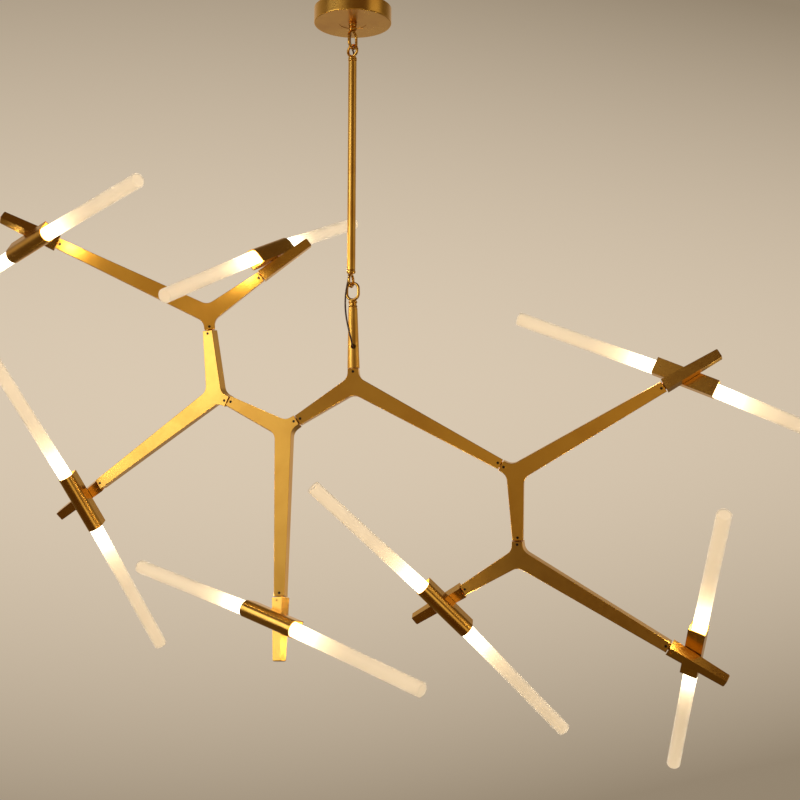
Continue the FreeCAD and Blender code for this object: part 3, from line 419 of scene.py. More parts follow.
def brass(name, roughness_offset=0.0, stretch=(1.0, 1.0, 1.0), rings=0.0, tone=0.55):
    """Satin brass: toned in clouds, uneven in gloss, with a fine grain. Spun brass has turning marks."""
    finishes = bpy.context.scene.chandelier_finishes
    made, tree, shader, place = new_material(name)
    clouds = clouded(tree, place, 14.0, tone)
    satin = grained(tree, place, 2600.0, stretch)
    middle = finishes.brass_roughness + roughness_offset
    uneven = spread(tree, satin["Gloss"], 0.0, 1.0, middle - 0.012, middle + 0.012)
    height = satin["Height"]
    if rings:
        lines = grouped(tree, "spun_rings", {"Vector": place, "Scale": rings})[0]
        height = calculate(tree, "MULTIPLY_ADD", lines, 2.0, height)
    inputs = {
        "Base Color": mixed(tree, clouds, rgba(finishes.brass), rgba(finishes.brass_deep)),
        "Roughness": calculate(tree, "MULTIPLY_ADD", clouds, 0.03, uneven),
        "Normal": bump(tree, height, 0.000008, 0.25),
        "Metallic": 1.0,
        "Coat Weight": finishes.lacquer,
        "Coat Roughness": 0.22,
    }
    fill(tree, shader, inputs)


def plain_finish(
    name, tints, cloud_scale, cloud_amount, gloss, grain, depth=0.00005, strength=0.3, metallic=0.0
):
    """A surface a little uneven in colour and gloss, with a fine grain."""
    made, tree, shader, place = new_material(name)
    clouds = clouded(tree, place, cloud_scale, cloud_amount)
    satin = grained(tree, place, grain)
    inputs = {
        "Base Color": mixed(tree, clouds, *tints),
        "Roughness": spread(tree, satin["Gloss"], 0.0, 1.0, *gloss),
        "Normal": bump(tree, satin["Height"], depth, strength),
        "Metallic": metallic,
    }
    fill(tree, shader, inputs)


def small_finishes(finishes):
    """Turned brass, blackened steel a little rubbed, and the ceramic, plastic and plated steel inside."""
    turned = (rgba(finishes.screw), rgba(finishes.brass_deep))
    plain_finish("turned_brass", turned, 60.0, 0.5, (0.2, 0.34), 4000.0, 0.00004, 0.25, 1.0)
    black = (rgba(finishes.set_screw), shade(finishes.set_screw, 3.0))
    plain_finish("blackened_steel", black, 900.0, 0.6, (0.3, 0.45), 4000.0, 0.00002, 0.3, 1.0)
    inside = (
        ("glazed_ceramic", finishes.ceramic, 0.35, 700.0, 0.0),
        ("pale_plastic", finishes.plastic, 0.4, 700.0, 0.0),
        ("zinc_steel", finishes.steel, 0.38, 300.0, 1.0),
    )
    for name, tint, rough, grain, metallic in inside:
        tints = (rgba(tint), shade(tint, 0.78))
        gloss = (rough - 0.06, rough + 0.08)
        plain_finish(name, tints, 70.0, 0.8, gloss, grain, metallic=metallic)


def etched_glass():
    """Etched glass that glows beside the bulb and fades to a pale, half clear tube."""
    finishes = bpy.context.scene.chandelier_finishes
    made, tree, shader, place = new_material("etched_glass")
    settings = {
        "Distance": node(tree, "ShaderNodeAttribute", attribute_name="reach").outputs["Fac"],
        "Lit Length": finishes.glow_length,
        "Fade": finishes.glow_fade,
        "Least": finishes.glow_least,
        "Hot": rgba(finishes.glow_hot),
        "Warm": rgba(finishes.glow_warm),
    }
    satin = grained(tree, place, 900.0)
    low = finishes.frost - 0.05
    clouds = clouded(tree, place, 30.0, 0.35)
    inputs = {
        # The emission is painted glow on the glass: the bulb's light in the frost, full beside the bulb and
        # fading along the tube.
        "Emission Color": grouped(tree, "glow", settings)["Light"],
        "Emission Strength": finishes.glow_strength,
        "Roughness": spread(tree, satin["Gloss"], 0.0, 1.0, low, low + 0.1),
        "Base Color": mixed(tree, clouds, rgba(finishes.glass), shade(finishes.glass, 0.94)),
        "Normal": bump(tree, satin["Height"], 0.00003, 0.05),
        "Transmission Weight": finishes.clear,
        "IOR": 1.2,
    }
    fill(tree, shader, inputs)
    made.cycles.emission_sampling = "NONE"


def bulb_glass():
    """The capsule bulb: a small bright lamp inside the frosted tube."""
    finishes = bpy.context.scene.chandelier_finishes
    made, tree, shader, place = new_material("bulb_glass")
    clouds = clouded(tree, place, 120.0, 1.0)
    light = mixed(tree, clouds, rgba(finishes.glow_hot), rgba(finishes.glow_warm))
    inputs = {"Emission Color": light, "Base Color": light, "Emission Strength": 0.6, "Roughness": 0.15}
    fill(tree, shader, inputs)
    made.cycles.emission_sampling = "NONE"


def dark_sheath():
    """Smooth dark cable with faint marks along it from the extruder, read from its own UV map."""
    finishes = bpy.context.scene.chandelier_finishes
    made, tree, shader, place = new_material("dark_sheath")
    uv = node(tree, "ShaderNodeUVMap", uv_map="cable").outputs[0]
    marks = grained(tree, uv, 6.0, (24.0, 1.5, 1.0))
    clouds = clouded(tree, place, 90.0, 1.0)
    inputs = {
        "Base Color": mixed(tree, clouds, rgba(finishes.sheath), shade(finishes.sheath, 2.0)),
        "Roughness": spread(tree, marks["Gloss"], 0.0, 1.0, 0.36, 0.5),
        "Normal": bump(tree, marks["Height"], 0.00008, 0.4),
    }
    fill(tree, shader, inputs)


def dress(node_name, material):
    """Gives a carried piece its finish."""
    piece = frame["nodes"][node_name]
    if not piece.material_slots:
        piece.data.materials.append(material)
    for place in piece.material_slots:
        place.material = material


# Reading places from the fixed pieces


def loose_parts(node_name):
    """The separate solids of a fixed piece, each as a list of its points."""
    copied = bmesh.new()
    copied.from_mesh(frame["nodes"][node_name].data)
    bmesh.ops.remove_doubles(copied, verts=copied.verts, dist=1e-6)
    waiting = set(copied.verts)
    parts = []
    while waiting:
        front = [waiting.pop()]
        part = []
        while front:
            vertex = front.pop()
            part.append(vertex.co.copy())
            for edge in vertex.link_edges:
                other = edge.other_vert(vertex)
                if other in waiting:
                    waiting.remove(other)
                    front.append(other)
        parts.append(part)
    copied.free()
    return parts


def middle_of(points):
    low = Vector(min(p[i] for p in points) for i in range(3))
    high = Vector(max(p[i] for p in points) for i in range(3))
    return (low + high) / 2


def measured(points, axis):
    """Lowest and highest place of the points along an axis, their middle line, and their largest radius."""
    axis = axis.normalized()
    along = [p.dot(axis) for p in points]
    low, high = min(along), max(along)
    ring = [p - axis * p.dot(axis) for p in points]
    centre = middle_of(ring)
    centre = centre - axis * centre.dot(axis)
    radius = max((p - centre).length for p in ring)
    return low, high, centre, radius


def long_axis(points):
    """Direction of a long round piece: the one along which its points spread the most."""
    centred = np.array([tuple(p) for p in points])
    centred -= centred.mean(axis=0)
    return Vector(np.linalg.svd(centred, full_matrices=False)[2][0])


def places_mesh(name, places):
    """Points with the direction that a repeated piece takes at each."""
    mesh = bpy.data.meshes.new(name)
    mesh.from_pydata([p for p, _ in places], [], [])
    axes = mesh.attributes.new("axis", "FLOAT_VECTOR", "POINT")
    for item, (_, axis) in zip(axes.data, places):
        item.vector = axis
    return mesh


# Geometry node trees for what is turned on a lathe and repeats


def make_turned():
    """Turns a profile about Z, and closes its seams and poles.

    The profile is drawn flat: radius along X, height down Y.
    """
    inputs = {"Profile": "Geometry", "Sides": "Int"}
    tree, given, result = group("turned", "GeometryNodeTree", inputs, {"Mesh": "Geometry"})
    hub = node(tree, "GeometryNodeCurvePrimitiveCircle", {"Resolution": given["Sides"], "Radius": 1e-6})
    curves = {"Curve": hub.outputs[0], "Profile Curve": given["Profile"]}
    swept = node(tree, "GeometryNodeCurveToMesh", curves)
    closed = node(tree, "GeometryNodeMergeByDistance", {"Geometry": swept.outputs[0], "Distance": 4e-6})
    tree.links.new(closed.outputs[0], result["Mesh"])


def make_placed():
    """Puts a piece on each place along its axis, shades it, and gives it its finish."""
    inputs = {"Piece": "Geometry", "Places": "Geometry", "Crease": "Float", "Finish": "Material"}
    tree, given, result = group("placed", "GeometryNodeTree", inputs, {"Geometry": "Geometry"})
    steep = node(tree, "GeometryNodeInputMeshEdgeAngle").outputs[0]
    compared = {0: steep, 1: given["Crease"]}
    crease = node(tree, "FunctionNodeCompare", compared, operation="GREATER_THAN").outputs[0]
    kind = "GeometryNodeSetShadeSmooth"
    smooth = node(tree, kind, {0: given["Piece"], "Shade Smooth": True}, domain="FACE").outputs[0]
    sharp = {0: smooth, "Selection": crease, "Shade Smooth": False}
    creased = node(tree, kind, sharp, domain="EDGE").outputs[0]
    named = node(tree, "GeometryNodeInputNamedAttribute", {"Name": "axis"}, data_type="FLOAT_VECTOR")
    turned = node(tree, "FunctionNodeAlignRotationToVector", {"Vector": named.outputs[0]}, axis="Z")
    copied = {"Points": given["Places"], "Instance": creased, "Rotation": turned.outputs[0]}
    copies = node(tree, "GeometryNodeInstanceOnPoints", copied)
    real = node(tree, "GeometryNodeRealizeInstances", {0: copies.outputs[0]})
    finished = node(tree, "GeometryNodeSetMaterial", {0: real.outputs[0], "Material": given["Finish"]})
    tree.links.new(finished.outputs[0], result["Geometry"])


def piece_group(name, *measures):
    """A geometry group for a piece that is turned and repeats, with its measures in metres."""
    inputs = {"Places": "Geometry", **floats(*measures), "Sides": "Int", "Finish": "Material"}
    return group(name, "GeometryNodeTree", inputs, {"Geometry": "Geometry"})


def turned_body(tree, given, profile):
    return grouped(tree, "turned", {"Profile": profile, "Sides": given["Sides"]})[0]


def place_all(tree, given, result, body, crease):
    """Ends a piece's group: the body goes on each place. The crease is in degrees."""
    inputs = {
        "Piece": body,
        "Places": given["Places"],
        "Crease": math.radians(crease),
        "Finish": given["Finish"],
    }
    tree.links.new(grouped(tree, "placed", inputs)[0], result["Geometry"])


def corner(tree, radius, height):
    """A profile's point, drawn as the turning needs it."""
    down = times(tree, height, -1.0)
    return node(tree, "ShaderNodeCombineXYZ", {0: radius, 1: down}).outputs[0]


def by_index(tree, kind, values):
    """Picks one of the values by a point's index."""
    made = tree.nodes.new("GeometryNodeIndexSwitch")
    made.data_type = kind
    while len(made.index_switch_items) < len(values):
        made.index_switch_items.new()
    index = node(tree, "GeometryNodeInputIndex").outputs[0]
    fill(tree, made, dict(enumerate([index, *values])))
    return made.outputs[0]


def drawn(tree, count, position):
    """A curve through a number of points, each at its position."""
    line = node(tree, "GeometryNodeMeshLine", {"Count": count}).outputs[0]
    placed = node(tree, "GeometryNodeSetPosition", {0: line, "Position": position}).outputs[0]
    return node(tree, "GeometryNodeMeshToCurve", {0: placed}).outputs[0]


def profile_of(tree, corners):
    """A profile curve through its corners."""
    return drawn(tree, len(corners), by_index(tree, "VECTOR", corners))


def rounded(tree, curve, roundings):
    """The curve with each corner rounded by its own radius."""
    radius = by_index(tree, "FLOAT", roundings)
    inputs = {"Curve": curve, "Radius": radius, "Limit Radius": True, "Count": 6}
    return node(tree, "GeometryNodeFilletCurve", inputs, mode="POLY").outputs[0]


def make_frosted_tubes():
    """Tubes with a closed, rounded end. Each point keeps its distance to the open end for the glow."""
    measures = ("Radius", "Length", "Wall", "End Wall", "End Rounding", "Lip")
    tree, given, result = piece_group("frosted_tubes", *measures)
    inner = minus(tree, given["Radius"], given["Wall"])
    floor = minus(tree, given["Length"], given["End Wall"])
    inner_rounding = minus(tree, given["End Rounding"], given["Wall"])
    corners = [
        corner(tree, 0.0, given["Length"]),
        corner(tree, given["Radius"], given["Length"]),
        corner(tree, given["Radius"], 0.0),
        corner(tree, inner, 0.0),
        corner(tree, inner, floor),
        corner(tree, 0.0, floor),
    ]
    roundings = [0.0, given["End Rounding"], given["Lip"], given["Lip"], inner_rounding, 0.0]
    body = turned_body(tree, given, rounded(tree, profile_of(tree, corners), roundings))
    parts, radius = about_z(tree, node(tree, "GeometryNodeInputPosition").outputs[0])
    # The inner face counts as a metre further, so that it has only the least glow.
    border = calculate(tree, "MULTIPLY_ADD", given["Wall"], -0.9, given["Radius"])
    distance = calculate(tree, "ADD", parts[2], calculate(tree, "LESS_THAN", radius, border))
    stored = {"Geometry": body, "Name": "reach", "Value": distance}
    kinds = {"data_type": "FLOAT", "domain": "POINT"}
    marked = node(tree, "GeometryNodeStoreNamedAttribute", stored, **kinds).outputs[0]
    place_all(tree, given, result, marked, 50)


def make_threaded_nipples():
    """Bored tubes with a fine thread outside, centred on their places.

    The profile's first and last points lie in the bore. The others zigzag between thread root and crest.
    """
    measures = ("Radius", "Bore Radius", "Length", "Pitch", "Thread Depth")
    tree, given, result = piece_group("threaded_nipples", *measures)
    half_pitch = times(tree, given["Pitch"], 0.5)
    steps = calculate(tree, "FLOOR", calculate(tree, "DIVIDE", given["Length"], half_pitch))
    index = node(tree, "GeometryNodeInputIndex").outputs[0]
    turn = minus(tree, index, 1.0)
    bounded = calculate(tree, "MINIMUM", calculate(tree, "MAXIMUM", turn, 0.0), steps)
    step = calculate(tree, "DIVIDE", given["Length"], steps)
    start = times(tree, given["Length"], -0.5)
    height = calculate(tree, "MULTIPLY_ADD", bounded, step, start)
    odd = calculate(tree, "MODULO", bounded, 2.0)
    groove = times(tree, minus(tree, 1.0, odd), given["Thread Depth"])
    crest = minus(tree, given["Radius"], groove)
    beyond = calculate(tree, "ABSOLUTE", minus(tree, turn, bounded))
    inside = calculate(tree, "GREATER_THAN", beyond, 0.5)
    bore_part = times(tree, inside, given["Bore Radius"])
    radius = calculate(tree, "MULTIPLY_ADD", minus(tree, 1.0, inside), crest, bore_part)
    curve = drawn(tree, calculate(tree, "ADD", steps, 3.0), corner(tree, radius, height))
    closed = node(tree, "GeometryNodeSetSplineCyclic", {0: curve, "Cyclic": True}).outputs[0]
    place_all(tree, given, result, turned_body(tree, given, closed), 30)


def make_set_screws():
    """Headless screws with a hexagon socket in the face that points along their axis."""
    measures = ("Radius", "Length", "Socket", "Socket Depth", "Chamfer")
    tree, given, result = piece_group("set_screws", *measures)
    socket = times(tree, given["Socket"], 0.5 * math.cos(math.radians(30)))
    face = minus(tree, given["Radius"], given["Chamfer"])
    below = [times(tree, given[name], -1.0) for name in ("Chamfer", "Socket Depth", "Length")]
    shoulder, floor, foot = below
    corners = [
        corner(tree, 0.0, floor),
        corner(tree, socket, floor),
        corner(tree, socket, 0.0),
        corner(tree, face, 0.0),
        corner(tree, given["Radius"], shoulder),
        corner(tree, given["Radius"], foot),
        corner(tree, 0.0, foot),
    ]
    body = turned_body(tree, given, profile_of(tree, corners))
    place = node(tree, "GeometryNodeInputPosition").outputs[0]
    parts, radius = about_z(tree, place)
    sixth = math.radians(60)
    around = calculate(tree, "ARCTAN2", parts[1], parts[0])
    within = minus(tree, calculate(tree, "FLOORED_MODULO", around, sixth), sixth / 2)
    wider = calculate(tree, "DIVIDE", 1.0, calculate(tree, "COSINE", within))
    hexagon = node(tree, "ShaderNodeCombineXYZ", {0: wider, 1: wider, 2: 1.0}).outputs[0]
    stretched = node(tree, "ShaderNodeVectorMath", {0: place, 1: hexagon}, operation="MULTIPLY").outputs[0]
    rim = calculate(tree, "LESS_THAN", radius, times(tree, socket, 1.05))
    moved = {0: body, "Selection": rim, "Position": stretched}
    formed = node(tree, "GeometryNodeSetPosition", moved).outputs[0]
    place_all(tree, given, result, formed, 30)


def grown(name, places, tree_name, values):
    """Runs a tree on its places and returns the result as a plain mesh."""
    scene = bpy.context.scene
    seed = bpy.data.objects.new(name + "_places", places_mesh(name + "_places", places))
    scene.collection.objects.link(seed)
    modifier = seed.modifiers.new(tree_name, "NODES")
    modifier.node_group = bpy.data.node_groups[tree_name]
    sockets = modifier.node_group.interface.items_tree
    names = {item.name: item.identifier for item in sockets if item.in_out == "INPUT"}
    for label, value in values.items():
        modifier[names[label]] = value
    evaluated = seed.evaluated_get(bpy.context.evaluated_depsgraph_get())
    mesh = bpy.data.meshes.new_from_object(evaluated)
    mesh.name = name
    bpy.data.objects.remove(seed)
    return mesh


def joined(name, meshes):
    """One object of several meshes, with its faces pointing outwards."""
    whole = bmesh.new()
    materials = []
    for mesh in meshes:
        first = len(whole.faces)
        whole.from_mesh(mesh)
        whole.faces.ensure_lookup_table()
        for face in whole.faces[first:]:
            face.material_index += len(materials)
        materials += list(mesh.materials)
    bmesh.ops.recalc_face_normals(whole, faces=whole.faces)
    mesh = bpy.data.meshes.new(name)
    whole.to_mesh(mesh)
    whole.free()
    for material in materials:
        mesh.materials.append(material)
    made = bpy.data.objects.new(name, mesh)
    bpy.context.scene.collection.objects.link(made)
    return made


# Cables


def route_line(name, points):
    """The smooth line of a route: a NURBS spline through its control points, read as points."""
    curve = bpy.data.curves.new(name + "_line", "CURVE")
    curve.dimensions = "3D"
    curve.resolution_u = 12
    spline = curve.splines.new("NURBS")
    spline.points.add(len(points) - 1)
    for item, point in zip(spline.points, points):
        item.co = (*point, 1.0)
    spline.order_u = 3
    spline.use_endpoint_u = True
    holder = bpy.data.objects.new(name + "_line", curve)
    bpy.context.scene.collection.objects.link(holder)
    evaluated = holder.evaluated_get(bpy.context.evaluated_depsgraph_get())
    mesh = bpy.data.meshes.new_from_object(evaluated)
    line = [v.co.copy() for v in mesh.vertices]
    bpy.data.objects.remove(holder)
    bpy.data.meshes.remove(mesh)
    return line


def tube_mesh(name, line, diameter, sides, rounding=0.3):
    """A round tube along a line, with rounded end faces and a UV map of turns and distance."""
    body = bmesh.new()
    layer = body.loops.layers.uv.new("cable")
    radius = diameter / 2
    tangents = [
        (line[min(i + 1, len(line) - 1)] - line[max(i - 1, 0)]).normalized() for i in range(len(line))
    ]
    side = tangents[0].orthogonal().normalized()
    first, last = line[0], line[-1]
    stations = [(first, tangents[0], radius * (1 - rounding), 0.0)]
    travelled = 0.0
    for i, point in enumerate(line):
        if i:
            travelled += (point - line[i - 1]).length
        place = point
        if i == 0:
            place = first + tangents[0] * radius * rounding
        if i == len(line) - 1:
            place = last - tangents[-1] * radius * rounding
        stations.append((place, tangents[i], radius, travelled))
    stations.append((last, tangents[-1], radius * (1 - rounding), travelled))
    rings = []
    for place, tangent, wide, along in stations:
        side = (side - tangent * side.dot(tangent)).normalized()
        across = tangent.cross(side)
        ring = []
        for k in range(sides):
            turn = 2 * math.pi * k / sides
            ring.append(body.verts.new(place + (side * math.cos(turn) + across * math.sin(turn)) * wide))
        rings.append((ring, along))
    for (ring, along), (next_ring, next_along) in zip(rings, rings[1:]):
        for k in range(sides):
            after = (k + 1) % sides
            face = body.faces.new((ring[k], ring[after], next_ring[after], next_ring[k]))
            face.smooth = True
            corners = ((k, along), (k + 1, along), (k + 1, next_along), (k, next_along))
            for loop, (turns, distance) in zip(face.loops, corners):
                loop[layer].uv = (turns / sides, distance / diameter)
    body.faces.new(list(reversed(rings[0][0])))
    body.faces.new(rings[-1][0])
    mesh = bpy.data.meshes.new(name)
    body.to_mesh(mesh)
    body.free()
    return mesh


def make_cable(name, route, node_name):
    """A cable along its route, in place of the carried cable, which it hides."""
    sizes = bpy.context.scene.chandelier_sizes
    line = route_line(name, route)
    piece = bpy.data.objects.new(name, tube_mesh(name, line, sizes.cable_diameter, sizes.cable_sides))
    bpy.context.scene.collection.objects.link(piece)
    piece.data.materials.append(bpy.data.materials["dark_sheath"])
    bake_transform(piece)
    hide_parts(node_name)


# Operators


class StageOperator(bpy.types.Operator):
    """Make the camera, the lamps, the floor and the surroundings"""

    bl_idname = "chandelier.stage"
    bl_label = "Stage"

    def execute(self, context):
        stage = context.scene.chandelier_stage
        self.make_camera(context, stage)
        self.make_world(context, stage)
        self.make_floor(context, stage)
        self.make_lamps(context, stage)
        context.scene.view_settings.view_transform = "Standard"
        return {"FINISHED"}

    def make_camera(self, context, stage):
        ahead = Vector(
            (
                math.sin(stage.yaw) * math.cos(stage.pitch),
                math.cos(stage.yaw) * math.cos(stage.pitch),
                math.sin(stage.pitch),
            )
        )
        right = ahead.cross(Vector((0, 0, 1))).normalized()
        up = right.cross(ahead)
        leaning_right = right * math.cos(stage.roll) + up * math.sin(stage.roll)
        leaning_up = up * math.cos(stage.roll) - right * math.sin(stage.roll)
        data = bpy.data.cameras.new("camera")
        data.lens = stage.lens
        data.shift_y = stage.shift
        camera = bpy.data.objects.new("camera", data)
        turned = Matrix((leaning_right, leaning_up, -ahead)).transposed()
        stand = Matrix.Translation((0, -stage.camera_back, -stage.camera_drop))
        camera.matrix_world = stand @ turned.to_4x4()
        context.scene.collection.objects.link(camera)
        context.scene.camera = camera

    def make_world(self, context, stage):
        """The camera and glass see the backdrop, reflections also the room in front. Other light is even."""
        world = bpy.data.worlds.new("surroundings")
        context.scene.world = world
        world.use_nodes = True
        tree = world.node_tree
        tree.nodes.clear()
        direction = node(tree, "ShaderNodeTexCoord").outputs["Generated"]
        parts = node(tree, "ShaderNodeSeparateXYZ", {0: direction}).outputs
        rays = node(tree, "ShaderNodeLightPath").outputs
        reflected = minus(tree, rays["Is Glossy Ray"], rays["Is Transmission Ray"])
        reflected = calculate(tree, "MAXIMUM", reflected, 0.0)
        backdrop = backdrop_tone(tree, stage, parts, reflected)
        ahead = spread(tree, parts[1], 0.25, -0.2)
        dim = times(tree, ahead, reflected)
        tone = mixed(tree, dim, backdrop, room_tone(tree, stage, direction))
        seen = node(tree, "ShaderNodeBackground", {"Color": tone, "Strength": 1.0}).outputs[0]
        even = {"Color": ROOM_LIGHT_COLOUR, "Strength": stage.room_light}
        light = node(tree, "ShaderNodeBackground", even).outputs[0]
        looks = calculate(tree, "MAXIMUM", rays["Is Camera Ray"], rays["Is Glossy Ray"])
        looks = calculate(tree, "MAXIMUM", looks, rays["Is Transmission Ray"])
        both = node(tree, "ShaderNodeMixShader", {0: looks, 1: light, 2: seen}).outputs[0]
        node(tree, "ShaderNodeOutputWorld", {"Surface": both})

    def make_floor(self, context, stage):
        mesh = bpy.data.meshes.new("floor")
        disc = bmesh.new()
        bmesh.ops.create_circle(disc, cap_ends=True, segments=96, radius=FLOOR_RADIUS)
        bmesh.ops.translate(disc, verts=disc.verts, vec=(0.0, 0.0, -FLOOR_BELOW))
        disc.to_mesh(mesh)
        disc.free()
        floor = bpy.data.objects.new("floor", mesh)
        made, tree, shader, place = new_material("floor")
        grain = noise(tree, place, 9.0, Detail=4.0)
        tint = mixed(tree, grain, rgba(stage.floor), shade(stage.floor, 0.94))
        fill(tree, shader, {"Base Color": tint, "Roughness": 0.9, "Specular IOR Level": 0.1})
        mesh.materials.append(made)
        floor.visible_glossy = False
        context.scene.collection.objects.link(floor)
        floor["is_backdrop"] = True

    def make_lamps(self, context, stage):
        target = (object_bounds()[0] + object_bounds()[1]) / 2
        for name, azimuth, elevation, wide, high, tint, setting in LAMPS:
            data = bpy.data.lights.new(name, "AREA")
            data.shape = "RECTANGLE"
            data.size = wide
            data.size_y = high
            data.energy = getattr(stage, setting) * math.pi * wide * high
            data.color = tint
            lamp = bpy.data.objects.new(name, data)
            lamp.matrix_world = facing(target, azimuth, elevation, LAMP_DISTANCE)
            lamp.visible_camera = False
            lamp.visible_transmission = False
            context.scene.collection.objects.link(lamp)


def backdrop_tone(tree, stage, parts, reflected):
    """Colour of the backdrop in a direction. In reflections it falls off less, but to its full depth."""
    rise = minus(tree, parts[2], BRIGHTEST_Z)
    aside = minus(tree, parts[0], BRIGHTEST_X)
    risen = times(tree, rise, rise)
    strayed = times(tree, aside, aside)
    steepness = calculate(tree, "MULTIPLY_ADD", strayed, FALL_TO_CORNERS, FALL_WITH_HEIGHT)
    fall = times(tree, risen, steepness)
    fall = times(tree, fall, spread(tree, reflected, 0.0, 1.0, 1.0, FALL_IN_REFLECTIONS))
    slope = times(tree, strayed, FALL_TO_SIDES)
    level = minus(tree, minus(tree, 1.0, fall), slope)
    least = spread(tree, reflected, 0.0, 1.0, LEAST_BACKDROP, 0.0)
    level = calculate(tree, "MAXIMUM", level, least)
    return mixed(tree, level, rgba(stage.backdrop_edge), rgba(stage.backdrop))


def room_tone(tree, stage, direction):
    """Colour of the room in front, with its light patches."""
    room = rgba(stage.room)
    for azimuth, elevation, edge, core, setting in PATCHES:
        towards = {0: direction, 1: heading(azimuth, elevation)}
        near = node(tree, "ShaderNodeVectorMath", towards, operation="DOT_PRODUCT").outputs["Value"]
        room = mixed(tree, spread(tree, near, edge, core), room, rgba(getattr(stage, setting)))
    return room


def heading(azimuth, elevation):
    """A direction in degrees. Azimuth 0 is in front of the object, and a positive one is to the right."""
    a, e = math.radians(azimuth), math.radians(elevation)
    return Vector((math.sin(a) * math.cos(e), -math.cos(a) * math.cos(e), math.sin(e)))


def facing(target, azimuth, elevation, distance):
    """Place of a lamp that faces the target."""
    away = heading(azimuth, elevation)
    turn = (-away).to_track_quat("-Z", "Y").to_matrix().to_4x4()
    return Matrix.Translation(target + away * distance) @ turn


class FinishesOperator(bpy.types.Operator):
    """Make the shared effects and the materials"""

    bl_idname = "chandelier.finishes"
    bl_label = "Finishes"

    def execute(self, context):
        make_satin_grain()
        make_handling()
        make_spun_rings()
        make_glow()
        brass("plate_brass")
        brass("bar_brass", roughness_offset=-0.05)
        brass("sleeve_brass", roughness_offset=-0.06, tone=0.7)
        # The rod and the stub take more of the deep brass: random tone, and also painted shade that darkens
        # them as a whole.
        brass("rod_brass", roughness_offset=0.02, stretch=(1.0, 1.0, 0.04), tone=1.0)
        brass("stub_brass", roughness_offset=0.10, tone=0.7)
        brass("spun_brass", roughness_offset=-0.02, rings=900.0, tone=0.8)
        brass("loop_brass", roughness_offset=-0.10, tone=0.9)
        small_finishes(context.scene.chandelier_finishes)
        etched_glass()
        bulb_glass()
        dark_sheath()
        return {"FINISHED"}


class CablesOperator(bpy.types.Operator):
    """Make the two dark cables beside the linked loops"""

    bl_idname = "chandelier.cables"
    bl_label = "Cables"

    def execute(self, context):
        make_cable("lower_lead", LOWER_ROUTE, "lower_cable")
        make_cable("upper_lead", UPPER_ROUTE, "upper_cable")
        return {"FINISHED"}


class CanopyOperator(bpy.types.Operator):
    """Finish the canopy, the bracket and what it holds"""

    bl_idname = "chandelier.canopy"
    bl_label = "Canopy"

    def execute(self, context):
        materials = bpy.data.materials
        dress("canopy_cover", materials["spun_brass"])
        dress("canopy_nipple_and_nut", materials["turned_brass"])
        dress("ceiling_bracket", materials["zinc_steel"])
        dress("terminal_block", materials["pale_plastic"])
        return {"FINISHED"}


class RodOperator(bpy.types.Operator):
    """Finish the loops, the rod and the stub"""

    bl_idname = "chandelier.rod"
    bl_label = "Rod and loops"

    def execute(self, context):
        materials = bpy.data.materials
        for name in ("canopy_loop", "rod_top_loop", "rod_bottom_loop", "stub_loop"):
            dress(name, materials["loop_brass"])
        dress("rod_tube", materials["rod_brass"])
        dress("stub_tube", materials["stub_brass"])
        dress("stub_nipple", materials["turned_brass"])
        return {"FINISHED"}


class PlatesOperator(bpy.types.Operator):
    """Finish the three-armed plates and make their set screws and nipples"""

    bl_idname = "chandelier.plates"
    bl_label = "Plates"

    def execute(self, context):
        for index in PLATES:
            dress("plate_%d" % index, bpy.data.materials["plate_brass"])
            self.make_fittings(context, index)
        return {"FINISHED"}

    def make_fittings(self, context, index):
        sizes = context.scene.chandelier_sizes
        face = plate_normal("plate_%d" % index)
        parts = sorted(loose_parts("plate_%d_joiners" % index), key=lambda part: -span_of(part))
        nipples, screws = parts[:2], parts[2:]
        if len(screws) != 3:
            raise RuntimeError("plate %d holds %d set screws, and should hold three" % (index, len(screws)))
        nipple_places = []
        for points in nipples:
            axis = long_axis(points)
            low, high, centre, radius = measured(points, axis)
            nipple_places.append((centre + axis * (low + high) / 2, axis))
        nipple_values = {
            "Radius": radius,
            "Bore Radius": sizes.nipple_bore / 2,
            "Length": high - low,
            "Pitch": sizes.thread_pitch,
            "Thread Depth": sizes.thread_depth,
            "Sides": sizes.fitting_sides,
            "Finish": bpy.data.materials["turned_brass"],
        }
        screw_places = []
        for points in screws:
            low, high, centre, radius = measured(points, face)
            screw_places.append((centre + face * high, face))
        screw_values = {
            "Radius": radius,
            "Length": high - low,
            "Socket": sizes.socket_across,
            "Socket Depth": sizes.socket_depth,
            "Chamfer": sizes.screw_chamfer,
            "Sides": sizes.fitting_sides,
            "Finish": bpy.data.materials["blackened_steel"],
        }
        name = "plate_%d_fittings" % index
        piece = joined(
            name,
            [
                grown(name + "_nipples", nipple_places, "threaded_nipples", nipple_values),
                grown(name + "_screws", screw_places, "set_screws", screw_values),
            ],
        )
        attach(piece, "plate_%d" % index)
        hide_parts("plate_%d_joiners" % index)


def span_of(points):
    first = points[0]
    return max((p - first).length for p in points)


def plate_normal(node_name):
    """Direction that a flat plate's front faces: the one that the largest area shares, towards the front."""
    areas = {}
    for face in frame["nodes"][node_name].data.polygons:
        key = tuple(round(c, 2) for c in face.normal)
        areas[key] = areas.get(key, Vector((0, 0, 0))) + face.normal * face.area
    normal = max(areas.values(), key=lambda total: total.length).normalized()
    return normal if normal.y < 0 else -normal


class HeadsOperator(bpy.types.Operator):
    """Finish the bars, the sleeves, the lampholders and the bulbs"""

    bl_idname = "chandelier.heads"
    bl_label = "Lamp heads"

    def execute(self, context):
        materials = bpy.data.materials
        for index in HEADS:
            dress("bar_%d" % index, materials["bar_brass"])
            dress("sleeve_%d" % index, materials["sleeve_brass"])
            dress("lampholders_%d" % index, materials["glazed_ceramic"])
            dress("bulbs_%d" % index, materials["bulb_glass"])
        return {"FINISHED"}


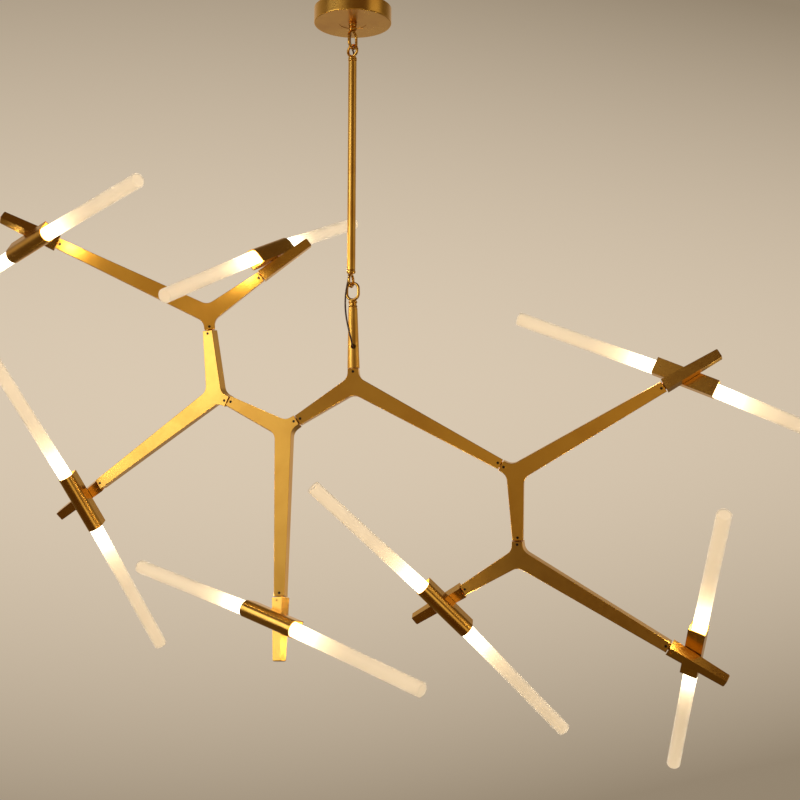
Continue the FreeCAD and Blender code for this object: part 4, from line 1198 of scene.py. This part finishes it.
class TubesOperator(bpy.types.Operator):
    """Make the frosted glass tubes, two in each sleeve"""

    bl_idname = "chandelier.tubes"
    bl_label = "Frosted tubes"

    def execute(self, context):
        sizes = context.scene.chandelier_sizes
        spared = bpy.data.collections.new("spared_glass")
        mouths = {}
        for index in HEADS:
            low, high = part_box("sleeve_%d" % index)
            hub = (low + high) / 2
            places = mouths[index] = []
            for points in loose_parts("glass_tubes_%d" % index):
                axis = long_axis(points)
                if (middle_of(points) - hub).dot(axis) < 0:
                    axis = -axis
                start, end, centre, radius = measured(points, axis)
                places.append((centre + axis * start, axis))
            values = {
                "Radius": radius,
                "Length": end - start,
                "Wall": sizes.glass_wall,
                "End Wall": sizes.glass_end_wall,
                "End Rounding": sizes.glass_end_radius,
                "Lip": sizes.glass_lip,
                "Sides": sizes.glass_sides,
                "Finish": bpy.data.materials["etched_glass"],
            }
            name = "frosted_tubes_%d" % index
            piece = joined(name, [grown(name, places, "frosted_tubes", values)])
            piece.visible_shadow = False
            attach(piece, "sleeve_%d" % index)
            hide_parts("glass_tubes_%d" % index)
            spared.objects.link(piece)
        for item in spared.collection_objects:
            item.light_linking.link_state = "EXCLUDE"
        for index in HEADS:
            self.light_up(context, index, mouths[index])
        for lamp in context.scene.objects:
            if lamp.type == "LIGHT":
                lamp.light_linking.receiver_collection = spared
        return {"FINISHED"}

    def light_up(self, context, index, places):
        """A small lamp in each tube for the warm light on the brass. The glass has its own glow instead."""
        finishes = context.scene.chandelier_finishes
        frame["nodes"]["bulbs_%d" % index].visible_shadow = False
        for end, (mouth, axis) in zip("ab", places):
            data = bpy.data.lights.new("bulb_light_%d%s" % (index, end), "POINT")
            data.energy = finishes.bulb_power
            data.shadow_soft_size = finishes.bulb_radius
            data.color = finishes.bulb_light
            lamp = bpy.data.objects.new(data.name, data)
            lamp.location = mouth + axis * finishes.bulb_reach
            lamp.visible_camera = False
            lamp.visible_transmission = False
            context.scene.collection.objects.link(lamp)
            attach(lamp, "sleeve_%d" % index)


class ToolsOperator(bpy.types.Operator):
    """Make the geometry node trees"""

    bl_idname = "chandelier.trees"
    bl_label = "Node trees"

    def execute(self, context):
        make_turned()
        make_placed()
        make_frosted_tubes()
        make_threaded_nipples()
        make_set_screws()
        return {"FINISHED"}


class ChandelierPanel(bpy.types.Panel):
    """Steps that build the chandelier's looks, in order"""

    bl_idname = "VIEW3D_PT_chandelier"
    bl_label = "Chandelier"
    bl_space_type = "VIEW_3D"
    bl_region_type = "UI"
    bl_category = "Chandelier"

    def draw(self, context):
        for operator in OPERATORS:
            self.layout.operator(operator.bl_idname)


SETTINGS = {
    "chandelier_sizes": ChandelierSizes,
    "chandelier_finishes": ChandelierFinishes,
    "chandelier_stage": ChandelierStage,
}
OPERATORS = (
    StageOperator,
    FinishesOperator,
    ToolsOperator,
    CablesOperator,
    CanopyOperator,
    RodOperator,
    PlatesOperator,
    HeadsOperator,
    TubesOperator,
)
CLASSES = (*SETTINGS.values(), *OPERATORS, ChandelierPanel)


def register():
    for each in CLASSES:
        bpy.utils.register_class(each)
    for name, settings in SETTINGS.items():
        setattr(bpy.types.Scene, name, PointerProperty(type=settings))


def unregister():
    for name in SETTINGS:
        delattr(bpy.types.Scene, name)
    for each in reversed(CLASSES):
        bpy.utils.unregister_class(each)


def main():
    register()
    for operator in OPERATORS:
        category, name = operator.bl_idname.split(".")
        getattr(getattr(bpy.ops, category), name)()


if __name__ == "__main__":
    main()
